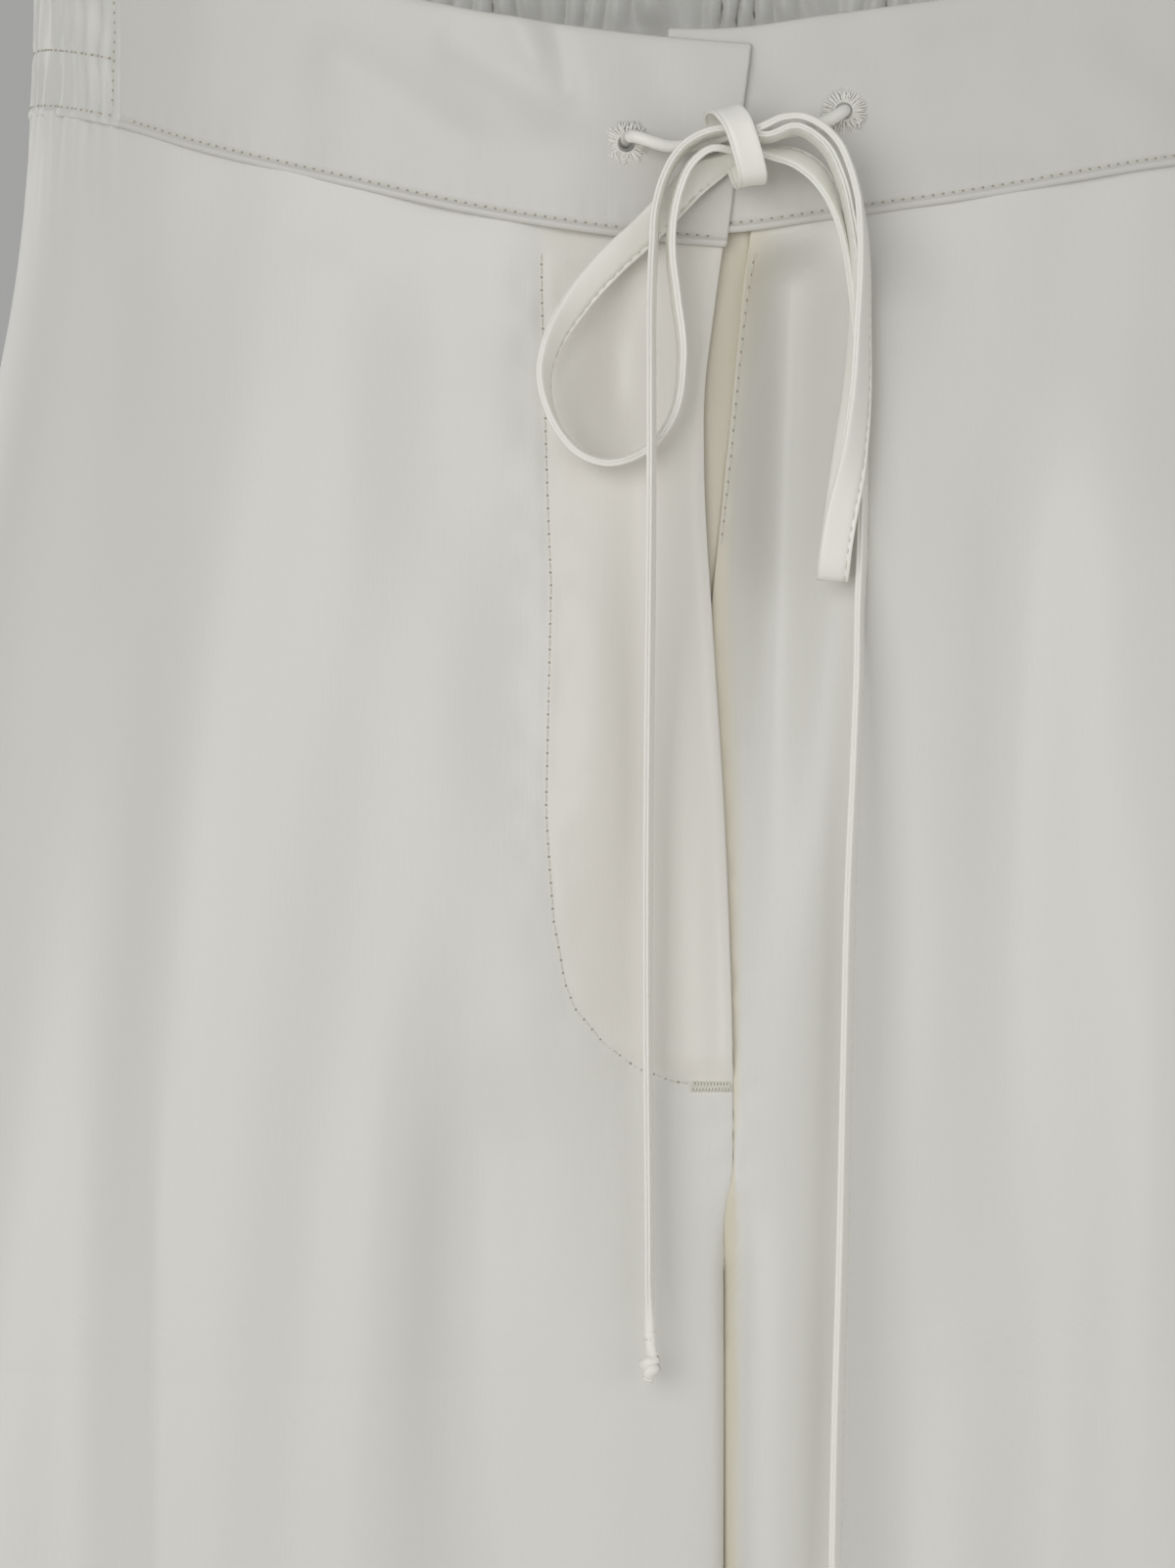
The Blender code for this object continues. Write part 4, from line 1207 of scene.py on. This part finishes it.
band_row("stitches_band_right", -1, 2.8)
band_row("stitches_band_left", 1, -8.0)
print("front band stitched", BAND_STITCH_UP, "mm up")


# %% [markdown]
# Each row that shuts an elastic channel runs right round the back, and a short upright row
# at each end of the elastic holds it.

# %% Elastic stitches
ELASTIC_STITCH = (2.3, 1.5)


def back_row(name, share, ups):
    """A row on the elastic band. Its stitches stand out from a line inside the waist."""
    points, _ = back_band_place(share, ups)
    smooth, _ = back_band_place(share, ups, relief=False)
    centre = smooth * np.array((0.6, 0.6, 1.0))
    stitch_row(name, points, outs_of(centre, smooth), *ELASTIC_STITCH, "waistband_satin", 0.2, 0.3)


ELASTIC_ENDS = {"right": 0.004, "left": 0.996}
for number in range(CHANNELS):
    up = BAND_STITCH_UP if number == 0 else BAND_HEIGHT * number / CHANNELS
    share = np.linspace(*ELASTIC_ENDS.values(), 2400)
    back_row(f"stitches_elastic_{number}", share, np.full(2400, up))
for word, share in ELASTIC_ENDS.items():
    ups = np.linspace(3.0, BAND_HEIGHT - 1.0, 200)
    back_row("stitches_elastic_end_" + word, np.full(200, share), ups)
print("elastic channels:", CHANNELS)

# %% [markdown]
# The fly's curved line holds the facing behind the right front, and ends in a bar tack: a
# short row of close stitches across it that takes the strain.

# %% Fly stitches
def front_surface(side, line):
    """Points on a front panel over a line of x and height, and the ways out."""
    fine = np.linspace(0, 1, 500)
    x, height = (np.interp(fine, np.linspace(0, 1, len(line)), column) for column in line.T)
    way = way_at_x(side * x, height)
    from_side = section_length(height, -1) - way
    relief = panel_relief(side, -1, way, from_side, height, x)
    points = cloth_points(side, -1, way, height, proud=relief)
    inside = cloth_points(side, -1, way, height, proud=relief - 1.0)
    return points, outs_of(inside, points)


def way_at_x(x, height):
    """The way round the front to each distance out from the centre."""
    way = np.array(x, float)
    for _ in range(6):
        found = outline_point(-1, np.clip(way, 0, None), height)[..., 0]
        way = way + (x - np.where(way < 0, way, found))
    return way


fly_points, fly_outs = front_surface(-1, FLY_STITCH)
stitch_row("stitches_fly", fly_points, fly_outs, 2.9, 2.1, "satin", 0.19, 0.28)
UNDERLAP_STITCH = from_picture(
    ((772, 254), (764, 300), (757, 360), (750, 430), (742, 500), (735, 560))
)
lap_points, lap_outs = front_surface(1, UNDERLAP_STITCH)
stitch_row("stitches_underlap", lap_points, lap_outs, 3.0, 2.1, "satin")

TACK_STITCHES = 24
TACK_ENDS = (-9.0, -0.8)
TACK_HEIGHTS = (-231.6, -234.2)
TACK_SLANT = 0.3
TACK_UP = 0.1
tack = []
for number, x in enumerate(np.linspace(*TACK_ENDS, TACK_STITCHES)):
    slant = TACK_SLANT if number % 2 else -TACK_SLANT
    pair = np.array([(x - slant, TACK_HEIGHTS[0]), (x + slant, TACK_HEIGHTS[1])])
    points, outs = front_surface(-1, pair)
    middle = outs[len(outs) // 2]
    tack.append((points[0] + outs[0] * TACK_UP, points[-1] + outs[-1] * TACK_UP, middle))
put_on(stitch_mesh("bar_tack", *zip(*tack), 0.27, sewing_thread), "satin")
print("fly line:", round(along_line(fly_points)[-1]), "mm")

# %% [markdown]
# ## Eyelets
# Each eyelet is a round buttonhole: threads lie side by side from the hole outwards, and a
# purl edge runs round the hole. The threads vary a little in length, as the machine's do.

# %% Eyelets
EYELETS = {"eyelet_right": (-1, -23.7, -21.8), "eyelet_left": (1, 25.1, -14.3)}
EYELET_THREADS = 50
EYELET_FUZZ = 20
EYELET_PURLS = 34
PURL_SWING = 0.24
EYELET_HOLE = 2.05


def make_eyelet(node, side, x, height, seed):
    dice = np.random.RandomState(seed)
    way = way_at_x(np.array([abs(x)]), np.array([height]))
    proud = float(lap_proud(x)) if side < 0 else BAND_PROUD
    centre, ahead = (
        cloth_points(side, -1, way, np.array([height]), proud=proud + step, folded=False)[0]
        for step in (0.35, 1.35)
    )
    out = ahead - centre
    up = np.array((0.0, 0.0, 1.0))
    right = np.cross(up, out)
    right /= np.linalg.norm(right)
    threads = []

    def arm(angle):
        return math.cos(angle) * right + math.sin(angle) * up

    for k in range(EYELET_THREADS):
        angle = 2 * math.pi * (k + dice.uniform(-0.25, 0.25)) / EYELET_THREADS
        far_angle = angle + dice.uniform(-0.05, 0.05)
        start = centre + arm(angle) * EYELET_HOLE + out * dice.uniform(-0.1, 0.2)
        threads.append((start, centre + arm(far_angle) * dice.uniform(4.7, 5.6) - out * 0.3, out))
    for _ in range(EYELET_FUZZ):
        angle = dice.uniform(0, 2 * math.pi)
        swing = angle + dice.uniform(-0.4, 0.4)
        near = dice.uniform(2.6, 4.2)
        far = near + dice.uniform(0.7, 1.4)
        place = centre + out * 0.2
        threads.append((place + arm(angle) * near, place + arm(swing) * far, out))
    for k in range(EYELET_PURLS):
        angle = 2 * math.pi * k / EYELET_PURLS
        start = centre + arm(angle) * (EYELET_HOLE - 0.1) - out * 0.3
        end = centre + arm(angle + PURL_SWING) * (EYELET_HOLE + 0.35) + out * 0.25
        threads.append((start, end, out))
    ring = stitch_mesh(node + "_thread", *zip(*threads), 0.22, eyelet_thread)
    put_on(ring, "eyelet_thread", node)


for number, (node, (half, x, height)) in enumerate(EYELETS.items()):
    make_eyelet(node, half, x, height, 5 + number)
print("eyelets:", len(EYELETS))

# %% [markdown]
# The hole goes right through the band, and a short cylinder cuts it.

# %% Eyelet holes
for node, (half, x, height) in EYELETS.items():
    bpy.ops.mesh.primitive_cylinder_add(
        vertices=32,
        radius=EYELET_HOLE * MM,
        depth=20 * MM,
        location=(x * MM, -0.1, height * MM),
        rotation=(math.pi / 2, 0, 0),
    )
    cutter = bpy.context.object
    cut = bands[half].modifiers.new("hole", "BOOLEAN")
    cut.operation = "DIFFERENCE"
    cut.object = cutter
    bpy.context.view_layer.objects.active = bands[half]
    bpy.ops.object.modifier_apply(modifier=cut.name)
    bpy.data.objects.remove(cutter)
    print(node, "cut")

# %% [markdown]
# ## Drawstring
# The drawstring is a satin strip, folded and edge stitched, 7 mm wide and limp. It is
# rolled up where it comes out of an eyelet, and flattens after the knot. Each side of it is
# one strip: from its eyelet through the knot into the opposite loop, back through the knot
# and down to its free end. The routes repeat the CAD source's points, with their turns: at
# 0 the strip's edge faces the front, and at 90 its flat side does.

# %% Routes of the drawstring
LEAD_RIGHT = (
    (-23.9, -100.4, -21.2, 0), (-23.8, -103.4, -20.7, 0), (-23.1, -106.2, -20.5, 0),
    (-21.2, -108.2, -20.9, 0), (-18.4, -108.6, -21.9, 0), (-14.6, -108.3, -22.9, 0),
    (-9.8, -107.8, -22.8, 0), (-6.4, -107.7, -22.5, 0),
)
LEAD_LEFT = (
    (25.4, -98.0, -14.0, 0), (25.4, -101.0, -14.0, 0), (24.5, -103.6, -14.8, 0),
    (22.1, -105.6, -16.5, 0), (16.8, -107.1, -18.7, 0), (10.8, -107.6, -19.9, 0),
    (7.3, -107.6, -20.3, 0),
)
LOOP_RIGHT = (
    (-8.8, -107.6, -30.7, 84), (-12.1, -107.7, -34.0, 84), (-19.4, -108.2, -41.6, 80),
    (-28.0, -110.0, -49.7, 70), (-35.2, -111.8, -58.3, 55), (-40.3, -112.9, -67.2, 35),
    (-42.1, -113.2, -74.2, 22), (-41.4, -113.4, -80.5, 12), (-38.4, -113.5, -87.3, 6),
    (-33.8, -113.6, -92.0, 2), (-28.1, -113.6, -93.8, 0), (-20.5, -113.6, -91.6, 0),
    (-14.0, -113.7, -84.1, 4), (-11.6, -113.7, -70.8, 8), (-13.0, -113.7, -56.3, 8),
    (-14.0, -113.7, -46.6, 6), (-13.6, -113.7, -39.1, 4), (-12.2, -113.7, -33.1, 0),
    (-9.4, -113.7, -27.2, 0), (-5.2, -113.7, -24.0, 0),
)
END_RIGHT = (
    (-6.9, -113.7, -21.2, 0), (-10.4, -113.7, -23.2, 0), (-13.1, -113.7, -26.2, 0),
    (-15.3, -113.8, -30.4, 4), (-17.1, -114.3, -36.6, 6), (-17.9, -115.6, -46.9, 8),
    (-18.3, -118.0, -58.0, 8), (-18.4, -121.6, -76.3, 8), (-18.4, -122.6, -93.2, 8),
    (-18.5, -121.4, -115.7, 9), (-18.8, -119.6, -145.3, 9), (-19.1, -118.5, -184.8, 9),
    (-19.1, -118.2, -224.3, 8), (-18.8, -118.0, -258.9, 8), (-18.7, -118.0, -288.7, 8),
)
LOOP_LEFT = (
    (6.1, -113.7, -19.1, 0), (10.6, -113.7, -17.1, 0), (15.1, -113.7, -16.8, 0),
    (19.6, -113.8, -18.8, 0), (23.4, -114.0, -22.5, 0), (26.1, -114.6, -28.5, 2),
    (27.7, -115.5, -34.8, 6), (28.5, -116.9, -41.5, 12), (28.8, -118.3, -50.4, 18),
    (28.5, -119.0, -63.3, 26), (28.0, -119.3, -78.5, 38), (26.0, -119.6, -95.4, 60),
    (23.6, -119.6, -107.0, 82), (22.6, -119.0, -113.4, 90), (22.1, -117.6, -118.2, 90),
    (21.9, -115.8, -120.0, 90), (22.2, -114.8, -116.0, 90), (23.4, -115.2, -107.6, 84),
    (25.0, -115.2, -94.7, 62), (26.8, -115.1, -77.9, 38), (27.5, -114.9, -63.0, 24),
    (27.1, -114.4, -50.1, 14), (26.0, -113.8, -39.9, 8), (23.9, -113.6, -30.8, 4),
    (19.9, -113.7, -23.2, 0), (13.9, -113.7, -19.6, 0), (7.3, -113.7, -21.6, 0),
)
END_LEFT = (
    (8.4, -109.6, -24.6, 24), (13.4, -109.6, -25.4, 36), (18.0, -109.6, -28.2, 40),
    (21.6, -109.8, -33.2, 30), (24.0, -110.4, -39.4, 20), (25.6, -110.9, -46.6, 14),
    (26.6, -111.4, -55.0, 10), (28.2, -112.0, -72.0, 12), (29.0, -112.2, -95.5, 14),
    (28.7, -112.6, -113.4, 14), (28.1, -113.4, -126.3, 12), (27.8, -115.0, -140.2, 12),
    (27.1, -116.6, -160.1, 14), (25.9, -116.8, -189.7, 16), (25.0, -116.8, -229.3, 17),
    (24.2, -116.8, -268.8, 18), (23.1, -116.8, -308.4, 18), (22.3, -116.8, -349.9, 18),
)
print("route points:", sum(map(len, (LEAD_RIGHT, LOOP_LEFT, END_RIGHT, LEAD_LEFT, LOOP_RIGHT, END_LEFT))))

# %% [markdown]
# A strip is swept along its route ring by ring. It is two layers thick. Its layers part at
# the stitched edge, a groove shows where the stitching pulls them in, and a slight hollow
# runs along the folded edge. roll says how far the strip is rolled up.

# %% Strip helper
STRIP_TOP = (
    (-2.9, 0.0), (-3.44, 0.17), (-3.52, 0.43), (-3.32, 0.66), (-3.05, 0.7), (-2.8, 0.53),
    (-2.6, 0.39), (-2.4, 0.53), (-2.05, 0.73), (-1.4, 0.8), (-0.3, 0.83), (1.2, 0.85),
    (2.6, 0.83), (3.3, 0.71), (3.52, 0.43), (3.46, 0.17), (3.2, 0.0),
)
STRIP = np.array(STRIP_TOP + tuple((u, -v) for u, v in reversed(STRIP_TOP[1:-1])))
STRIP_WIDTH = 7.0
STRIP_THICK = 1.7
ROLLED_AT_KNOT = 0.9
ROLLED = 1.4
STRIP_RING = 1.25


def smooth_route(route, step):
    """Places at even steps on a smooth curve through a route, with their turns."""
    table = np.array(route, float)
    along = along_line(table[:, :3])
    fine = np.linspace(0, along[-1], 3000)
    columns = [smooth_read({"along": along, "v": v}, "v", fine) for v in table.T]
    length = along_line(np.stack(columns[:3], 1))
    even = np.linspace(0, length[-1], int(length[-1] / step) + 1)
    return np.stack([np.interp(even, length, column) for column in columns], 1)


def strip_frame(curve):
    """At each place: the way across the strip, and the way out of its flat side."""
    line = np.gradient(curve[:, :3], axis=0)
    line /= np.linalg.norm(line, axis=1, keepdims=True)
    away = np.array((0.0, 1.0, 0.0))
    deep = away - (line @ away)[:, None] * line
    size = np.linalg.norm(deep, axis=1, keepdims=True)
    deep = deep / np.maximum(size, 1e-6)
    for i in range(1, len(deep)):
        if size[i] < 0.45:
            blended = deep[i - 1] - (deep[i - 1] @ line[i]) * line[i]
            deep[i] = blended / np.linalg.norm(blended)
        elif deep[i] @ deep[i - 1] < 0:
            deep[i] = -deep[i]
    beside = np.cross(line, deep)
    turn = np.radians(curve[:, 3])[:, None]
    across = np.cos(turn) * deep + np.sin(turn) * beside
    return across, np.cross(line, across)


def sweep(name, places, across, out, outlines, widths):
    """A strip's mesh: an outline in mm at each place. widths is its UV map across."""
    count = len(widths)
    rings = outlines[..., :1] * across[:, None]
    rings = places[:, None] + rings + outlines[..., 1:] * out[:, None]
    uv = np.broadcast_arrays(widths[None, :], along_line(places)[:, None])
    base = np.arange(len(places) - 1)[:, None] * count
    k = np.arange(count)[None, :]
    nxt = (k + 1) % count
    quads = np.stack([base + k, base + nxt, base + count + nxt, base + count + k], -1)
    faces = quads.reshape(-1, 4).tolist()
    faces.append(tuple(reversed(range(count))))
    faces.append(tuple((len(places) - 1) * count + i for i in range(count)))
    return add_mesh(name, rings.reshape(-1, 3), faces, cord_satin, np.stack(uv, -1).reshape(-1, 2))


def sweep_strip(name, curve):
    """A strip along places with x, y, z, turn and roll."""
    angle = np.linspace(math.pi, -math.pi, len(STRIP), endpoint=False)
    circle = ROLLED * np.stack([np.cos(angle), np.sin(angle)], 1)
    rolled = curve[:, 4][:, None, None]
    outlines = STRIP * (1 - rolled) + circle * rolled
    return sweep(name, curve[:, :3], *strip_frame(curve), outlines, STRIP[:, 0])


print("points in the strip's section:", len(STRIP))

# %% [markdown]
# Each side of the drawstring is swept along its route and rolled up towards its free end,
# and the length that its route measures is printed.

# %% Two sides of the drawstring
LEAST_TURN = 7.0


def with_roll(route, roll):
    return tuple((*row, roll) for row in route)


SIDE_FROM_RIGHT = (
    with_roll(LEAD_RIGHT, 1.0)
    + ((0.0, -110.6, -20.6, 0, 0.5),)
    + with_roll(LOOP_LEFT, 0.0)
    + ((0.2, -113.7, -20.0, 0, 0.2),)
    + with_roll(END_RIGHT, 0.0)
)
SIDE_FROM_LEFT = (
    with_roll(LEAD_LEFT, 1.0)
    + ((-0.6, -107.6, -25.8, 40, 0.5),)
    + with_roll(LOOP_RIGHT, 0.0)
    + ((0.6, -112.2, -24.4, 0, 0.2),)
    + with_roll(END_LEFT, 0.0)
)


def make_side(name, route, *nodes):
    curve = smooth_route(route, STRIP_RING)
    curve[:, 3] = np.maximum(curve[:, 3], LEAST_TURN)
    along = along_line(curve[:, :3])
    into_knot = ROLLED_AT_KNOT * (1 - smooth_step(2, 14, along[-1] - along))
    curve[:, 4] = np.clip(np.maximum(curve[:, 4], into_knot), 0, 1)
    return put_on(sweep_strip(name, curve), "drawstring_satin", *nodes), curve, along[-1]


from_right, right_curve, right_length = make_side(
    "drawstring_from_right",
    SIDE_FROM_RIGHT,
    "drawstring_lead_right",
    "bow_loop_left",
    "drawstring_end_right",
)
from_left, left_curve, left_length = make_side(
    "drawstring_from_left",
    SIDE_FROM_LEFT,
    "drawstring_lead_left",
    "bow_loop_right",
    "drawstring_end_left",
)
print("drawstring sides:", round(right_length), round(left_length), "mm")

# %% [markdown]
# The edge stitching of the strip lies in its groove on both faces, a stitch every 2.8 mm.

# %% Drawstring stitches
GROOVE = (-2.6, 0.43)
STRIP_STITCH = (2.8, 1.7)


def strip_stitches(name, curve):
    across, out = strip_frame(curve)
    flat = curve[:, 4] < 0.15
    along = along_line(curve[:, :3])
    stitches = []
    for face in (-1, 1):
        points = curve[:, :3] + across * GROOVE[0] + out * GROOVE[1] * face
        for s in np.arange(4.0, along[-1] - 4.0, STRIP_STITCH[0]):
            i = int(np.searchsorted(along, s))
            j = int(np.searchsorted(along, s + STRIP_STITCH[1]))
            if j < len(points) and flat[i] and flat[j] and i != j:
                stitches.append((points[i], points[j], out[i] * face))
    print(name, len(stitches))
    return put_on(stitch_mesh(name, *zip(*stitches), 0.17, sewing_thread), "drawstring_satin")


right_row = strip_stitches("stitches_drawstring_right", right_curve)
left_row = strip_stitches("stitches_drawstring_left", left_curve)

# %% [markdown]
# ## Knots
# In a bow, one strip wraps once round all the others. It comes over the top from behind,
# runs down the front and tucks under. It is the same strip, swept along a short loop that
# goes round the strands, so that its flat side faces out.

# %% Bow knot
KNOT_WRAP = (
    # x, y, z of the wrap's middle line
    (0.6, -105.9, -23.8), (-1.4, -105.7, -20.0), (-3.2, -107.6, -17.0), (-3.0, -111.6, -15.6),
    (-1.5, -115.4, -15.9), (0.5, -117.9, -18.4), (2.1, -118.7, -22.6), (3.3, -118.5, -26.8),
    (4.1, -117.0, -30.1), (3.9, -113.8, -31.6), (3.0, -110.0, -30.8), (2.0, -107.0, -28.0),
    (1.1, -105.9, -25.2),
)


KNOT_WIDTH = 6.4
KNOT_THICK = 1.3
KNOT_AXIS = np.array((1.0, 0.0, 0.18))
KNOT_DISH = 0.35
curve = smooth_route(KNOT_WRAP, 0.9)
line = np.gradient(curve, axis=0)
line /= np.linalg.norm(line, axis=1, keepdims=True)
across = KNOT_AXIS - (line @ KNOT_AXIS)[:, None] * line
across /= np.linalg.norm(across, axis=1, keepdims=True)
outline = STRIP * np.array((KNOT_WIDTH / STRIP_WIDTH, KNOT_THICK / STRIP_THICK))
widths = outline[:, 0].copy()
outline[:, 1] += KNOT_DISH * (widths / (KNOT_WIDTH / 2)) ** 2
knot = sweep("bow_knot_wrap", curve, across, np.cross(line, across), outline, widths)
put_on(knot, "drawstring_satin", "bow_knot")
print("knot faces:", len(knot.data.polygons))

# %% [markdown]
# Each free end is tied in a small overhand knot with a short tail below it. The strip is
# bunched there, so the knot is a thick strand that goes round itself.

# %% End knots
KNOT_TURNS = 1.3
KNOT_RADIUS = 0.95
KNOT_DROP = 4.2
KNOT_HEIGHT = 2.6


def make_end_knot(node, end):
    x, y, z = end[:3]
    share = np.linspace(0, 1, 46)
    angle = 2 * math.pi * KNOT_TURNS * share
    coil_x = x + KNOT_RADIUS * np.cos(angle)
    coil_y = y - KNOT_RADIUS * np.sin(angle)
    coil = np.stack([coil_x, coil_y, z - KNOT_DROP - KNOT_HEIGHT * share], 1)
    head = np.array([(x, y, z + 2.0), (x + 0.1, y, z), (x + 0.4, y, z - 0.6 * KNOT_DROP)])
    low = z - KNOT_DROP - KNOT_HEIGHT
    tail = np.array([(x - 0.3, y, low - 1.2), (x - 0.7, y, low - 2.2)])
    line = np.concatenate([head, coil[::4], tail])
    curve = smooth_route(tuple((*row, 0.0, 1.0) for row in line), 0.5)
    curve[:, 4] = ROLLED_AT_KNOT
    return put_on(sweep_strip(node + "_tied", curve), "drawstring_satin", node)


right_end = make_end_knot("end_knot_right", END_RIGHT[-1])
left_end = make_end_knot("end_knot_left", END_LEFT[-1])
print("end knots tied")

# %% Cords
for side, curve, length, pieces in (
    (from_right, right_curve, right_length, [right_end, right_row, knot]),
    (from_left, left_curve, left_length, [left_end, left_row]),
):
    print(side.name, round(length), "mm")

# %% [markdown]
# ## Floor and finish
# A floor of matt paper lies 40 mm below the hems, and the faces of all the pieces are
# counted.

# %% Floor
FLOOR_DROP = 40.0
bpy.ops.mesh.primitive_plane_add(size=8, location=(0, 0, (HEM - FLOOR_DROP) * MM))
floor = bpy.context.object
floor.name = "floor"
paper, _, shader = new_material("matt_paper")
shader.inputs["Base Color"].default_value = linear("e4e2de")
shader.inputs["Roughness"].default_value = 0.9
floor.data.materials.append(paper)
print("floor at", HEM - FLOOR_DROP, "mm")

# %% Finish
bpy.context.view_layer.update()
total = sum(len(o.data.polygons) for o in scene.objects if o.type == "MESH" and not o.hide_render)
print("faces in all:", total)
